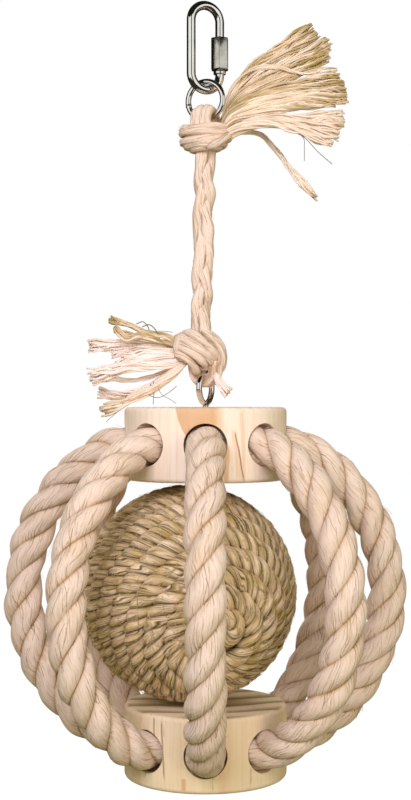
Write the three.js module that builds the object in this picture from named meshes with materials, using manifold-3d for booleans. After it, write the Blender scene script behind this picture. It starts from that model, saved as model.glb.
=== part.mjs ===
import * as THREE from 'three';
import { mergeVertices } from 'three/addons/utils/BufferGeometryUtils.js';
import Module from 'manifold-3d';

const wasm = await Module();
wasm.setup();

// A hanging rope globe for cage birds: two wooden discs joined by bowed ropes, with a twine-wound
// ball loose inside, on a plaited hanger with a steel ring and a quick link.
// Millimetres, +Z up. The origin is the hang point, inside the quick link's top bend.

// Clearances
const seat = 0.3; // between pieces that rest on each other
const ringPlay = 0.45; // hanging ring above the link's bottom bend
const knotDrop = 1.4; // top knot below the hanging ring
const eyePlay = 1.2; // screw eye below the lower knot, so that it can swing

// Quick link
const linkWire = 4.7;
const linkWidth = 21.5;
const linkLength = 49;
const linkTurn = 27; // degrees about Z
const linkOpening = 5;
const threadEngagement = 3.2; // sleeve over the lower thread when closed
const sleeveLength = 17;
const sleeveAcross = 8.8; // across the flats
const sleeveChamfer = 0.9;
const collarDiameter = 6.6;
const collarLength = 2;

// Hanging ring
const ringWire = 3;
const ringOuter = 22.8;
const ringTurn = -24; // degrees about Z

// Hanger rope
const loopWidth = 12;
const loopThickness = 7;
const topKnot = { width: 27, depth: 20, height: 14.5, round: 5 };
const stemWidth = 11;
const stemThickness = 8.5;
const stemLength = 96.5;
const lowerKnot = { width: 28, depth: 20, height: 15, round: 5.5 };
const lowerKnotOffset = 6; // towards -X
const lowerLoopRope = 7.4;

// Frayed tails: widths of the bundles
const tailRoot = 4.5; // where a bundle leaves its knot
const topTips = { upper: 15, middle: 14, lower: 14, strand: 3 };
const lowerTips = { upper: 11, back: 12, middle: 11, low: 10, tip: 8, loop: 5 };

// Screw eye
const eyeWire = 3;
const eyeOuter = 20;
const eyeTurn = 67; // degrees about Z
const eyeShank = 25; // in the wood
const eyeFillet = 2.5; // bend from the shank into the eye
const eyeMouth = 0.5; // between the eye's cut end and its shank

// Discs
const discDiameter = 85;
const discHeight = 38;
const discRound = 2.5;
const holeWall = 2.6; // wood between two neighbouring holes at their bottoms

// Cage ropes
const ropeCount = 8;
const ropeDiameter = 20;
const cageDiameter = 210.6; // over the ropes
const ropeBend = 40; // centreline radius where a rope leaves its hole
const ropeBendInset = 6.5; // that bend starts this far inside the disc

// Brads that hold the rope ends
const bradDiameter = 1.8;
const bradHead = 3.2;
const bradHeadHeight = 0.8;
const bradBite = 4; // into the wood beyond the rope
const bradPoint = 2;
const bradInset = 9.5; // from the disc's side

// Ball
const ballDiameter = 114;
const ballHeadroom = 2.4; // between the ball and the top disc
const ballOffset = 9; // it rests this far off the axis, towards -X
const ballPole = new THREE.Vector3(0.38, -0.89, -0.25);
const twineDiameter = 9.2;
const windingLoops = 14;
const poleCurl = 6.3; // radius of the half turn over each pole
const tuckBend = 5.5; // radius of the bend where an end goes into the core
const pocketPlay = 0.6; // round a tucked end

// Facets: sides round a section, steps along a path
const stepsPerLoop = 24;
const twineSides = 6;
const wireSides = 8;
const linkSteps = 36;
const eyeSteps = 34;
const ringSteps = 32;
const turnedSides = 16; // small round pieces: collar, bore, knots
const bradSides = 6;
const bundleSides = 8;
const bundleSteps = 6;
const stemSides = 12;
const loopSteps = 14;
const ropeSides = 10;
const ropeSteps = 14;
const discSides = 36;
const holeSides = 12;
const coreSides = 24;
const coreRows = 14;
const roundSteps = 2; // on a disc's rounded edge
const knotSteps = 4; // on a knot's rounded edge

const degrees = Math.PI / 180;

// Heights, worked out downwards from the hang point
const linkRadius = (linkWidth - linkWire) / 2;
const legTop = linkWire - linkWidth / 2;
const legBottom = linkWire - linkLength + linkWidth / 2;
const linkBottom = legBottom - linkRadius;
const collarTop = legBottom + seat + collarLength;
const sleeveBottom = collarTop + seat;
const openingBottom = sleeveBottom + threadEngagement;
const openingTop = openingBottom + linkOpening;
const ringRadius = (ringOuter - ringWire) / 2;
const ringCentre = linkBottom + linkWire / 2 + ringPlay + ringWire / 2 - ringRadius;
const ringBottom = ringCentre - ringRadius;
const topKnotTop = ringBottom - ringWire / 2 - knotDrop;
const stemTop = topKnotTop - topKnot.height - seat;
const lowerKnotTop = stemTop - stemLength - seat;
const lowerKnotBottom = lowerKnotTop - lowerKnot.height;
const eyeRadius = (eyeOuter - eyeWire) / 2;
const eyeTop = lowerKnotBottom - eyePlay - eyeWire / 2;
const eyeCentre = eyeTop - eyeRadius;
const topDiscTop = eyeCentre - eyeOuter / 2 - seat;
const topDiscMiddle = topDiscTop - discHeight / 2;
const discSpacing = seat + ballDiameter + ballHeadroom; // between the facing sides
const bottomDiscTop = topDiscTop - discHeight - discSpacing;
const bottomDiscMiddle = bottomDiscTop - discHeight / 2;
const cageMiddle = (topDiscMiddle + bottomDiscMiddle) / 2;

const colours = {
  steel: new THREE.MeshStandardMaterial({ color: 0xb9b9b6, roughness: 0.28, metalness: 1 }),
  pine: new THREE.MeshStandardMaterial({ color: 0xe2c19c, roughness: 0.7, metalness: 0 }),
  rope: new THREE.MeshStandardMaterial({ color: 0xd9c3ae, roughness: 0.95, metalness: 0 }),
  hanger: new THREE.MeshStandardMaterial({ color: 0xcdb596, roughness: 0.95, metalness: 0 }),
  twine: new THREE.MeshStandardMaterial({ color: 0xa98550, roughness: 0.95, metalness: 0 }),
};

// Helpers

class ArcCurve extends THREE.Curve {
  constructor(centre, axisA, axisB, radius, from, to) {
    super();
    Object.assign(this, { centre, axisA, axisB, radius, from, to });
  }
  getPoint(t, target = new THREE.Vector3()) {
    const angle = this.from + (this.to - this.from) * t;
    return target.copy(this.centre)
      .addScaledVector(this.axisA, this.radius * Math.cos(angle))
      .addScaledVector(this.axisB, this.radius * Math.sin(angle));
  }
}

const axisX = new THREE.Vector3(1, 0, 0);
const axisY = new THREE.Vector3(0, 1, 0);
const axisZ = new THREE.Vector3(0, 0, 1);

function point(x, y, z) {
  return new THREE.Vector3(x, y, z);
}

function joined(...curves) {
  const path = new THREE.CurvePath();
  curves.forEach((curve) => path.add(curve));
  return path;
}

function line(from, to) {
  return new THREE.LineCurve3(from, to);
}

function ovalSection(width, height, sides) {
  const corners = [];
  for (let i = 0; i < sides; i += 1) {
    const angle = (i / sides) * 2 * Math.PI;
    corners.push(new THREE.Vector2((width / 2) * Math.cos(angle), (height / 2) * Math.sin(angle)));
  }
  return new THREE.Shape(corners);
}

function tube(path, section, steps) {
  return new THREE.ExtrudeGeometry(section, { steps, extrudePath: path, bevelEnabled: false });
}

// Merges a geometry's vertices and drops the triangles that have no area.
function welded(geometry) {
  const bare = geometry.clone();
  bare.deleteAttribute('normal');
  bare.deleteAttribute('uv');
  const merged = mergeVertices(bare, 1e-4);
  const kept = [];
  const index = merged.index.array;
  for (let i = 0; i < index.length; i += 3) {
    const [a, b, c] = [index[i], index[i + 1], index[i + 2]];
    if (a !== b && b !== c && c !== a) kept.push(a, b, c);
  }
  merged.setIndex(kept);
  merged.computeVertexNormals();
  return merged;
}

function solid(geometry) {
  const merged = welded(geometry);
  return new wasm.Manifold(new wasm.Mesh({
    numProp: 3,
    vertProperties: new Float32Array(merged.attributes.position.array),
    triVerts: new Uint32Array(merged.index.array),
  }));
}

function geometryOf(body) {
  const mesh = body.getMesh();
  const geometry = new THREE.BufferGeometry();
  const positions = new Float32Array(mesh.numVert * 3);
  for (let i = 0; i < mesh.numVert; i += 1) {
    for (let k = 0; k < 3; k += 1) positions[3 * i + k] = mesh.vertProperties[i * mesh.numProp + k];
  }
  geometry.setAttribute('position', new THREE.BufferAttribute(positions, 3));
  geometry.setIndex(Array.from(mesh.triVerts));
  return geometry;
}

function cut(geometry, tools) {
  return geometryOf(tools.reduce((body, tool) => body.subtract(solid(tool)), solid(geometry)));
}

// A tube through points with a radius at each, its section carried along without twisting.
function taperedTube(points, radii, sides) {
  const last = points.length - 1;
  const corners = [];
  const faces = [];
  const side = new THREE.Vector3();
  points.forEach((here, i) => {
    const along = points[Math.min(i + 1, last)].clone().sub(points[Math.max(i - 1, 0)]).normalize();
    if (i === 0) side.copy(Math.abs(along.z) < 0.9 ? axisZ : axisX);
    side.addScaledVector(along, -side.dot(along)).normalize();
    const across = along.clone().cross(side);
    for (let k = 0; k < sides; k += 1) {
      const angle = (k / sides) * 2 * Math.PI;
      const corner = here.clone()
        .addScaledVector(side, radii[i] * Math.cos(angle))
        .addScaledVector(across, radii[i] * Math.sin(angle));
      corners.push(corner.x, corner.y, corner.z);
    }
  });
  for (let i = 0; i < last; i += 1) {
    for (let k = 0; k < sides; k += 1) {
      const [a, b] = [i * sides + k, i * sides + ((k + 1) % sides)];
      faces.push(a, b, b + sides, a, b + sides, a + sides);
    }
  }
  for (let k = 1; k < sides - 1; k += 1) {
    faces.push(0, k + 1, k);
    faces.push(last * sides, last * sides + k, last * sides + k + 1);
  }
  const geometry = new THREE.BufferGeometry();
  geometry.setAttribute('position', new THREE.Float32BufferAttribute(corners, 3));
  geometry.setIndex(faces);
  return geometry;
}

function mesh(name, geometry, material) {
  const piece = new THREE.Mesh(welded(geometry), material);
  piece.name = name;
  return piece;
}

const globe = new THREE.Group();

// Quick link: an open wire with a threaded sleeve across its opening

function linkBody() {
  const topCentre = point(0, 0, legTop);
  const bottomCentre = point(0, 0, legBottom);
  const path = joined(
    line(point(linkRadius, 0, openingBottom), point(linkRadius, 0, legBottom)),
    new ArcCurve(bottomCentre, axisX, axisZ, linkRadius, 0, -Math.PI),
    line(point(-linkRadius, 0, legBottom), point(-linkRadius, 0, legTop)),
    new ArcCurve(topCentre, axisX, axisZ, linkRadius, Math.PI, 0),
    line(point(linkRadius, 0, legTop), point(linkRadius, 0, openingTop)),
  );
  const wire = tube(path, ovalSection(linkWire, linkWire, wireSides), linkSteps);
  const collarRadius = collarDiameter / 2;
  const collar = new THREE.CylinderGeometry(collarRadius, collarRadius, collarLength, turnedSides);
  collar.rotateX(Math.PI / 2).translate(linkRadius, 0, collarTop - collarLength / 2);
  return geometryOf(solid(wire).add(solid(collar)));
}

function linkSleeve() {
  const corner = sleeveAcross / 2 / Math.cos(Math.PI / 6);
  const hexagon = ovalSection(2 * corner, 2 * corner, 6);
  const bore = linkWire + 2 * seat;
  hexagon.holes.push(new THREE.Path(ovalSection(bore, bore, turnedSides).getPoints()));
  const bar = new THREE.ExtrudeGeometry(hexagon, { depth: sleeveLength, bevelEnabled: false });
  const rounded = new THREE.LatheGeometry([
    new THREE.Vector2(0, 0),
    new THREE.Vector2(corner - sleeveChamfer, 0),
    new THREE.Vector2(corner, sleeveChamfer),
    new THREE.Vector2(corner, sleeveLength - sleeveChamfer),
    new THREE.Vector2(corner - sleeveChamfer, sleeveLength),
    new THREE.Vector2(0, sleeveLength),
  ], turnedSides).rotateX(Math.PI / 2);
  const sleeve = geometryOf(solid(bar).intersect(solid(rounded)));
  return sleeve.translate(linkRadius, 0, sleeveBottom);
}

const linkGroup = new THREE.Group();
linkGroup.rotation.z = linkTurn * degrees;
linkGroup.add(mesh('quick_link_body', linkBody(), colours.steel));
linkGroup.add(mesh('quick_link_sleeve', linkSleeve(), colours.steel));
globe.add(linkGroup);

// Hanging ring, with the hanger's upper loop square across its lower side

function ropeLoop(bendAt, bend, endsAt, upwards) {
  const turn = upwards ? Math.PI : -Math.PI;
  const path = joined(
    line(point(0, -bend, endsAt), point(0, -bend, bendAt)),
    new ArcCurve(point(0, 0, bendAt), axisY, axisZ, bend, turn, 0),
    line(point(0, bend, bendAt), point(0, bend, endsAt)),
  );
  return path;
}

const ringGroup = new THREE.Group();
ringGroup.rotation.z = ringTurn * degrees;
const ring = new THREE.TorusGeometry(ringRadius, ringWire / 2, wireSides, ringSteps);
ring.rotateX(Math.PI / 2).translate(0, 0, ringCentre);
ringGroup.add(mesh('hanging_ring', ring, colours.steel));
const upperBend = ringWire / 2 + seat + loopThickness / 2;
const upperLoop = ropeLoop(ringBottom, upperBend, topKnotTop + seat, true);
const upperSection = ovalSection(loopThickness, loopWidth, ropeSides);
ringGroup.add(mesh('upper_rope_loop', tube(upperLoop, upperSection, loopSteps), colours.hanger));
globe.add(ringGroup);

// Knots: rounded drums, oval from above, flat where a loop or the plait enters

function knotGeometry(knot, top, offset, grow) {
  const halfWidth = knot.width / 2 + grow;
  const height = knot.height + 2 * grow;
  const profile = [new THREE.Vector2(0, 0)];
  const corners = [[-Math.PI / 2, knot.round], [0, height - knot.round]];
  for (const [start, level] of corners) {
    for (let i = 0; i <= knotSteps; i += 1) {
      const angle = start + (i / knotSteps) * (Math.PI / 2);
      profile.push(new THREE.Vector2(
        halfWidth - knot.round + knot.round * Math.cos(angle),
        level + knot.round * Math.sin(angle),
      ));
    }
  }
  profile.push(new THREE.Vector2(0, height));
  const drum = new THREE.LatheGeometry(profile, turnedSides).rotateX(Math.PI / 2);
  drum.scale(1, (knot.depth / 2 + grow) / halfWidth, 1);
  return drum.translate(-offset, 0, top + grow - height);
}

globe.add(mesh('top_knot', knotGeometry(topKnot, topKnotTop, 0, 0), colours.hanger));
const stem = new THREE.ExtrudeGeometry(ovalSection(stemWidth, stemThickness, stemSides), {
  depth: stemLength, bevelEnabled: false,
});
globe.add(mesh('plaited_rope', stem.translate(0, 0, stemTop - stemLength), colours.hanger));
globe.add(mesh('lower_knot', knotGeometry(lowerKnot, lowerKnotTop, lowerKnotOffset, 0), colours.hanger));

// Screw eye, with the hanger's lower loop square through it

function screwEye() {
  const reach = eyeRadius + eyeFillet;
  const filletDrop = Math.sqrt(reach ** 2 - eyeFillet ** 2);
  const joinAngle = Math.atan2(-filletDrop, eyeFillet);
  const filletCentre = point(eyeFillet, 0, eyeCentre - filletDrop);
  const mouthAngle = Math.asin((eyeWire + eyeMouth) / eyeRadius);
  const path = joined(
    line(point(0, 0, topDiscTop - eyeShank), point(0, 0, filletCentre.z)),
    new ArcCurve(filletCentre, axisX, axisZ, eyeFillet, Math.PI, joinAngle + Math.PI),
    new ArcCurve(point(0, 0, eyeCentre), axisX, axisZ, eyeRadius, joinAngle,
      1.5 * Math.PI - mouthAngle),
  );
  return tube(path, ovalSection(eyeWire, eyeWire, wireSides), eyeSteps);
}

const eyeGroup = new THREE.Group();
eyeGroup.rotation.z = eyeTurn * degrees;
eyeGroup.add(mesh('screw_eye', screwEye(), colours.steel));
const lowerBend = eyeWire / 2 + seat + lowerLoopRope / 2;
const lowerLoop = ropeLoop(eyeTop, lowerBend, lowerKnotBottom - seat, false);
const lowerSection = ovalSection(lowerLoopRope, lowerLoopRope, ropeSides);
eyeGroup.add(mesh('lower_rope_loop', tube(lowerLoop, lowerSection, loopSteps), colours.hanger));
globe.add(eyeGroup);

// Frayed tails: each bundle starts on its knot and opens out like a brush

// Route points are across, behind and above the middle of the knot's top.
function bundle(name, route, rootWidth, tipWidth, knotTop, knotSeat) {
  const curve = new THREE.CatmullRomCurve3(route.map(([x, y, z]) => point(x, y, knotTop + z)));
  const radii = [];
  for (let i = 0; i <= bundleSteps; i += 1) {
    radii.push((rootWidth + (tipWidth - rootWidth) * (i / bundleSteps)) / 2);
  }
  const brush = taperedTube(curve.getSpacedPoints(bundleSteps), radii, bundleSides);
  globe.add(mesh(name, cut(brush, [knotSeat]), colours.hanger));
}

const topTails = [
  ['top_tassel_upper', topTips.upper, [[8, 6, -5], [13, 7, 7], [24, 7, 17.5], [42, 7, 33], [65, 8, 44.5]]],
  ['top_tassel_middle', topTips.middle,
    [[9, 0, -5], [17, -1, 6], [31, -2, 13.5], [50, -4, 18], [73, -5, 18.5]]],
  ['top_tassel_lower', topTips.lower,
    [[9, -5, -8], [18, -8, -1.5], [32, -11, 0.5], [50, -13, -2.5], [73, -14, -5.5]]],
  ['top_tassel_strand', topTips.strand,
    [[9, 5, -9], [19, 9, -4.5], [34, 12, -6.5], [50, 13, -18.5], [60, 13, -38.5]]],
];
const topKnotSeat = knotGeometry(topKnot, topKnotTop, 0, seat);
for (const [name, tipWidth, route] of topTails) {
  bundle(name, route, tailRoot, tipWidth, topKnotTop, topKnotSeat);
}
const lowerTails = [
  ['lower_tassel_upper', lowerTips.upper, [[-14, -3, -3.5], [-27, -4, 0.5], [-38, -5, 4], [-51, -5, 6.5]]],
  ['lower_tassel_back', lowerTips.back, [[-15, 3, -5.5], [-27, 4, -7], [-42, 5, -6], [-63, 5, -4]]],
  ['lower_tassel_middle', lowerTips.middle,
    [[-15, -3, -9.5], [-27, -5, -12], [-42, -7, -16], [-63, -8, -19.5]]],
  ['lower_tassel_low', lowerTips.low, [[-14, 3, -11.5], [-26, 5, -16.5], [-40, 7, -24], [-58, 8, -31]]],
  ['lower_tassel_tip', lowerTips.tip, [[-10, -4, -12.5], [-21, -6, -17], [-37, -7, -24.5], [-56, -7, -36]]],
  ['loop_tail', lowerTips.loop, [[1, -6, -9.5], [4, -10, -16], [8, -12.5, -23], [12, -13, -29]]],
];
const lowerKnotSeat = knotGeometry(lowerKnot, lowerKnotTop, lowerKnotOffset, seat);
for (const [name, tipWidth, route] of lowerTails) {
  bundle(name, route, tailRoot, tipWidth, lowerKnotTop, lowerKnotSeat);
}

// Cage ropes: straight in the hole, a bend at the mouth, then one wide arc from disc to disc

const ropeRadius = ropeDiameter / 2;
const discRadius = discDiameter / 2;
const ropeStep = (2 * Math.PI) / ropeCount;
const mouthAngle = Math.asin(ropeBendInset / ropeBend);
const mouthDrop = ropeBend * (1 - Math.cos(mouthAngle));
const holeRadius = ropeRadius / Math.cos(mouthAngle) + mouthDrop + seat;
const holeBottom = (holeWall / 2 + holeRadius * Math.cos(ropeStep / 2)) / Math.sin(ropeStep / 2);
const bendStart = discRadius - ropeBendInset;
const bowReach = cageDiameter / 2 - ropeRadius;
const bowRise = topDiscMiddle - cageMiddle;
const bendLevel = bowRise - ropeBend;
const bowSpan = bowReach - ropeBend;
const bowCentre = (bowSpan ** 2 - bendStart ** 2 - bendLevel ** 2) / (2 * (bowSpan - bendStart));
const bowRadius = bowReach - bowCentre;
const bowAngle = Math.atan2(bendLevel, bendStart - bowCentre);

function ropePath() {
  const upperBendCentre = point(bendStart, 0, cageMiddle + bendLevel);
  const lowerBendCentre = point(bendStart, 0, cageMiddle - bendLevel);
  const end = holeBottom + seat;
  return joined(
    line(point(end, 0, topDiscMiddle), point(bendStart, 0, topDiscMiddle)),
    new ArcCurve(upperBendCentre, axisX, axisZ, ropeBend, Math.PI / 2, bowAngle),
    new ArcCurve(point(bowCentre, 0, cageMiddle), axisX, axisZ, bowRadius, bowAngle, -bowAngle),
    new ArcCurve(lowerBendCentre, axisX, axisZ, ropeBend, -bowAngle, -Math.PI / 2),
    line(point(bendStart, 0, bottomDiscMiddle), point(end, 0, bottomDiscMiddle)),
  );
}

// Brads: one down through each rope end, its head flush with the disc's outer face

const bradAt = discRadius - bradInset;
const bradLength = discHeight / 2 + holeRadius + bradBite;

function bradProfile(grow) {
  const shank = bradDiameter / 2 + grow;
  const head = bradHead / 2 + grow;
  return [
    new THREE.Vector2(0, -bradLength - grow),
    new THREE.Vector2(shank, -bradLength + bradPoint - grow),
    new THREE.Vector2(shank, -bradHeadHeight - seat - grow),
    new THREE.Vector2(head, -bradHeadHeight - seat - grow),
    new THREE.Vector2(head, grow > 0 ? 1 : -seat),
    new THREE.Vector2(0, grow > 0 ? 1 : -seat),
  ];
}

// A brad, or with grow its hole, pointing into a disc from the outer face at the given level.
function brad(grow, level, downwards) {
  const shape = new THREE.LatheGeometry(bradProfile(grow), bradSides).rotateX(Math.PI / 2);
  if (!downwards) shape.rotateX(Math.PI);
  return shape.translate(bradAt, 0, level);
}

const bottomFace = bottomDiscTop - discHeight;

function rope(index) {
  const path = ropePath();
  const straight = tube(path, ovalSection(ropeDiameter, ropeDiameter, ropeSides), ropeSteps);
  const drilled = cut(straight, [brad(seat, topDiscTop, true), brad(seat, bottomFace, false)]);
  return drilled.rotateZ(ropeAngle(index));
}

// The first rope faces the viewer at -Y.
function ropeAngle(index) {
  return -Math.PI / 2 + index * ropeStep;
}

function disc(top, outerIsTop, drillings) {
  const profile = [new THREE.Vector2(0, top - discHeight)];
  const corners = [[-Math.PI / 2, top - discHeight + discRound], [0, top - discRound]];
  for (const [start, level] of corners) {
    for (let i = 0; i <= roundSteps; i += 1) {
      const angle = start + (i / roundSteps) * (Math.PI / 2);
      profile.push(new THREE.Vector2(
        discRadius - discRound + discRound * Math.cos(angle),
        level + discRound * Math.sin(angle),
      ));
    }
  }
  profile.push(new THREE.Vector2(0, top));
  const blank = new THREE.LatheGeometry(profile, discSides).rotateX(Math.PI / 2);
  const tools = [...drillings];
  for (let i = 0; i < ropeCount; i += 1) {
    const wide = holeRadius / Math.cos(Math.PI / holeSides);
    const hole = new THREE.CylinderGeometry(wide, wide, discRadius, holeSides).rotateZ(Math.PI / 2);
    hole.translate(holeBottom + discRadius / 2, 0, top - discHeight / 2);
    tools.push(hole.rotateZ(ropeAngle(i)));
    tools.push(brad(seat, outerIsTop ? top : top - discHeight, outerIsTop).rotateZ(ropeAngle(i)));
  }
  return cut(blank, tools);
}

const pilot = eyeWire / 2 + seat;
const pilotDepth = eyeShank + seat;
const pilotHole = new THREE.CylinderGeometry(pilot, pilot, 2 * pilotDepth, turnedSides);
pilotHole.rotateX(Math.PI / 2).translate(0, 0, topDiscTop);
globe.add(mesh('top_disc', disc(topDiscTop, true, [pilotHole]), colours.pine));
globe.add(mesh('bottom_disc', disc(bottomDiscTop, false, []), colours.pine));
for (let i = 0; i < ropeCount; i += 1) {
  const upper = brad(0, topDiscTop, true).rotateZ(ropeAngle(i));
  const lower = brad(0, bottomFace, false).rotateZ(ropeAngle(i));
  globe.add(mesh(`cage_rope_${i + 1}`, rope(i), colours.rope));
  globe.add(mesh(`top_brad_${i + 1}`, upper, colours.steel));
  globe.add(mesh(`bottom_brad_${i + 1}`, lower, colours.steel));
}

// Ball: twine wound from pole to pole over a core, both ends tucked into pockets

const twineRadius = twineDiameter / 2;
const laidRadius = ballDiameter / 2 - twineRadius; // twine centreline on the ball
const firstLoop = 2 * poleCurl; // the winding starts this far from the pole
const tuckDepth = tuckBend + twineDiameter;

// A point on the laid twine: plan x, y measured over the ball from the pole, and a depth below it.
function onBall(x, y, depth) {
  const away = Math.hypot(x, y);
  const angle = away / laidRadius;
  const heading = Math.atan2(y, x);
  const out = laidRadius - depth;
  return point(
    out * Math.sin(angle) * Math.cos(heading),
    out * Math.sin(angle) * Math.sin(heading),
    out * Math.cos(angle),
  );
}

// From one end, tucked into the core, over the pole and round to the ball's equator.
function halfWinding() {
  const points = [];
  for (let i = 0; i <= 2; i += 1) {
    points.push(onBall(-tuckBend, 0, tuckDepth - (i / 2) * twineDiameter));
  }
  for (let i = 1; i <= 4; i += 1) {
    const angle = (Math.PI / 2) * (1 - i / 4);
    points.push(onBall(-tuckBend * Math.sin(angle), 0, tuckBend * (1 - Math.cos(angle))));
  }
  for (let i = 1; i <= 8; i += 1) {
    const angle = (i / 8) * Math.PI;
    points.push(onBall(poleCurl * Math.sin(angle), poleCurl * (1 - Math.cos(angle)), 0));
  }
  const steps = (windingLoops / 2) * stepsPerLoop;
  const toEquator = (laidRadius * Math.PI) / 2;
  for (let i = 1; i <= steps; i += 1) {
    const heading = Math.PI / 2 + (i / stepsPerLoop) * 2 * Math.PI;
    const away = firstLoop + (toEquator - firstLoop) * (i / steps);
    points.push(onBall(away * Math.cos(heading), away * Math.sin(heading), 0));
  }
  return points;
}

// The second half is the first turned half round about the line where the two meet.
function windingPoints() {
  const half = halfWinding();
  const meeting = half[half.length - 1].clone().normalize();
  const turn = new THREE.Quaternion().setFromAxisAngle(meeting, Math.PI);
  const rest = half.slice(0, -1).reverse().map((p) => p.clone().applyQuaternion(turn));
  return half.concat(rest);
}

function leastGap(points, diameter) {
  const reached = [0];
  for (let i = 1; i < points.length; i += 1) {
    reached.push(reached[i - 1] + points[i].distanceTo(points[i - 1]));
  }
  let least = Infinity;
  for (let i = 0; i < points.length; i += 1) {
    for (let j = i + 1; j < points.length; j += 1) {
      const apart = reached[j] - reached[i] > 2 * diameter;
      if (apart) least = Math.min(least, points[i].distanceTo(points[j]) - diameter);
    }
  }
  return least;
}

const twinePath = windingPoints();
console.log(`ball winding: least gap to itself ${leastGap(twinePath, twineDiameter).toFixed(2)} mm`);

// The core clears the flats of the faceted twine, which dip below the round.
const facetDip = laidRadius * (1 - Math.cos(Math.PI / stepsPerLoop));
const coreRadius = laidRadius - twineRadius - facetDip - seat;

function ballCore() {
  const core = new THREE.SphereGeometry(coreRadius, coreSides, coreRows);
  const pocketFloor = laidRadius - tuckDepth - seat;
  const pocketLength = laidRadius - pocketFloor;
  const wide = twineRadius + pocketPlay;
  const pocket = new THREE.CylinderGeometry(wide, wide, pocketLength, turnedSides).rotateX(Math.PI / 2);
  pocket.translate(0, 0, pocketFloor + pocketLength / 2);
  const tools = [twinePath[0], twinePath[twinePath.length - 1]].map((end) => {
    const turn = new THREE.Quaternion().setFromUnitVectors(axisZ, end.clone().normalize());
    return pocket.clone().applyQuaternion(turn);
  });
  return cut(core, tools);
}

const ball = new THREE.Group();
ball.position.set(-ballOffset, 0, bottomDiscTop + seat + ballDiameter / 2);
ball.quaternion.setFromUnitVectors(axisZ, ballPole.clone().normalize());
const twineRadii = twinePath.map(() => twineRadius);
ball.add(mesh('ball_core', ballCore(), colours.twine));
ball.add(mesh('ball_winding', taperedTube(twinePath, twineRadii, twineSides), colours.twine));
globe.add(ball);

export default globe;
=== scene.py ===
import math

import bpy
import numpy as np
from mathutils import Matrix, Vector


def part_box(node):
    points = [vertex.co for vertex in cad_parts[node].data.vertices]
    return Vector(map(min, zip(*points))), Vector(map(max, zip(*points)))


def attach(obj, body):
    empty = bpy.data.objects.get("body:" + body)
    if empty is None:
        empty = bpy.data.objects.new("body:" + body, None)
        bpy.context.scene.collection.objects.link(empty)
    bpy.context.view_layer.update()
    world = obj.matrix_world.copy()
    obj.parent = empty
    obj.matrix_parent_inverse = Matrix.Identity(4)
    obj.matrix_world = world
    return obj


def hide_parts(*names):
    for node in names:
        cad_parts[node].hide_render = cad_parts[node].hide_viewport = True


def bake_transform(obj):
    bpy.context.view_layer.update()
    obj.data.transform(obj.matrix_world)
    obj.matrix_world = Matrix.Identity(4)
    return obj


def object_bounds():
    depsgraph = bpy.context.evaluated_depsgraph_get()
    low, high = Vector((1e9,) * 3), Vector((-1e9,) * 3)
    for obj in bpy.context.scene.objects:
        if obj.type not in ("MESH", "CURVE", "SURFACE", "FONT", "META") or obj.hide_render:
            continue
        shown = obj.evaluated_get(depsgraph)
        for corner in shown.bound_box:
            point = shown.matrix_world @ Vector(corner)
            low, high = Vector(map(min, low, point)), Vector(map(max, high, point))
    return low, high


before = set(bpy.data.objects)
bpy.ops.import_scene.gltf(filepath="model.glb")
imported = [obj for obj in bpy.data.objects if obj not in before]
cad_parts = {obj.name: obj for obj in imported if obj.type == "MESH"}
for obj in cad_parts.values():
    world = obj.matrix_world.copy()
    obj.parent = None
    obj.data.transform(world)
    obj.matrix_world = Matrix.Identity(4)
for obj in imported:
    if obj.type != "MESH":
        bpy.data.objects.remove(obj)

# A hanging rope globe for cage birds: steel quick link and ring, a plaited hanger with two knots and
# two frayed tassels, two pine discs joined by eight laid ropes, and a twine-wound ball inside.
# Metres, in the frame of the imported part: +Z up, hang point at the origin, viewer at -Y.

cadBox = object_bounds()
fullTurn = 2 * math.pi


# small helpers

def paint(red, green, blue):
    # screen colour, 0 to 255, as the linear colour that a shader takes
    def linear(c):
        c = c / 255
        return c / 12.92 if c <= 0.04045 else ((c + 0.055) / 1.055) ** 2.4
    return (linear(red), linear(green), linear(blue), 1.0)


def paints(colours):
    return {part: paint(*colour) for part, colour in colours.items()}


def clearSelection():
    if bpy.context.mode != "OBJECT":
        bpy.ops.object.mode_set(mode="OBJECT")
    bpy.ops.object.select_all(action="DESELECT")


def takePart(piece, body, nodes, bend=None):
    # a finished piece: where it rides and the solids it stands for, which are hidden
    # bend, when given, leaves the piece unparented with its place settled into the mesh; its body and points
    # are not used
    if bend:
        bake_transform(piece)
    else:
        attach(piece, body)
    if nodes:
        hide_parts(*nodes)


def unit(vectors):
    return vectors / np.maximum(np.linalg.norm(vectors, axis=-1, keepdims=True), 1e-12)


def lengthsAlong(points):
    steps = np.linalg.norm(np.diff(points, axis=0), axis=1)
    return np.concatenate([[0.0], np.cumsum(steps)])


def lengthsOf(rate, along):
    # running total of a rate along a line
    return np.concatenate([[0.0], np.cumsum((rate[1:] + rate[:-1]) / 2 * np.diff(along))])


def placed(corners, origin):
    # millimetres from an origin, as metres in the frame
    return np.asarray(corners, float) / 1000 + np.asarray(origin)


def ringAngle(i, count):
    # the first of a ring of pieces faces the viewer
    return -math.pi / 2 + i * fullTurn / count


def evenly(points, count):
    # the same line with its points spaced evenly
    points = np.asarray(points, float)
    along = lengthsAlong(points)
    at = np.linspace(0, along[-1], count)
    return np.stack([np.interp(at, along, points[:, k]) for k in range(3)], axis=1)


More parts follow.
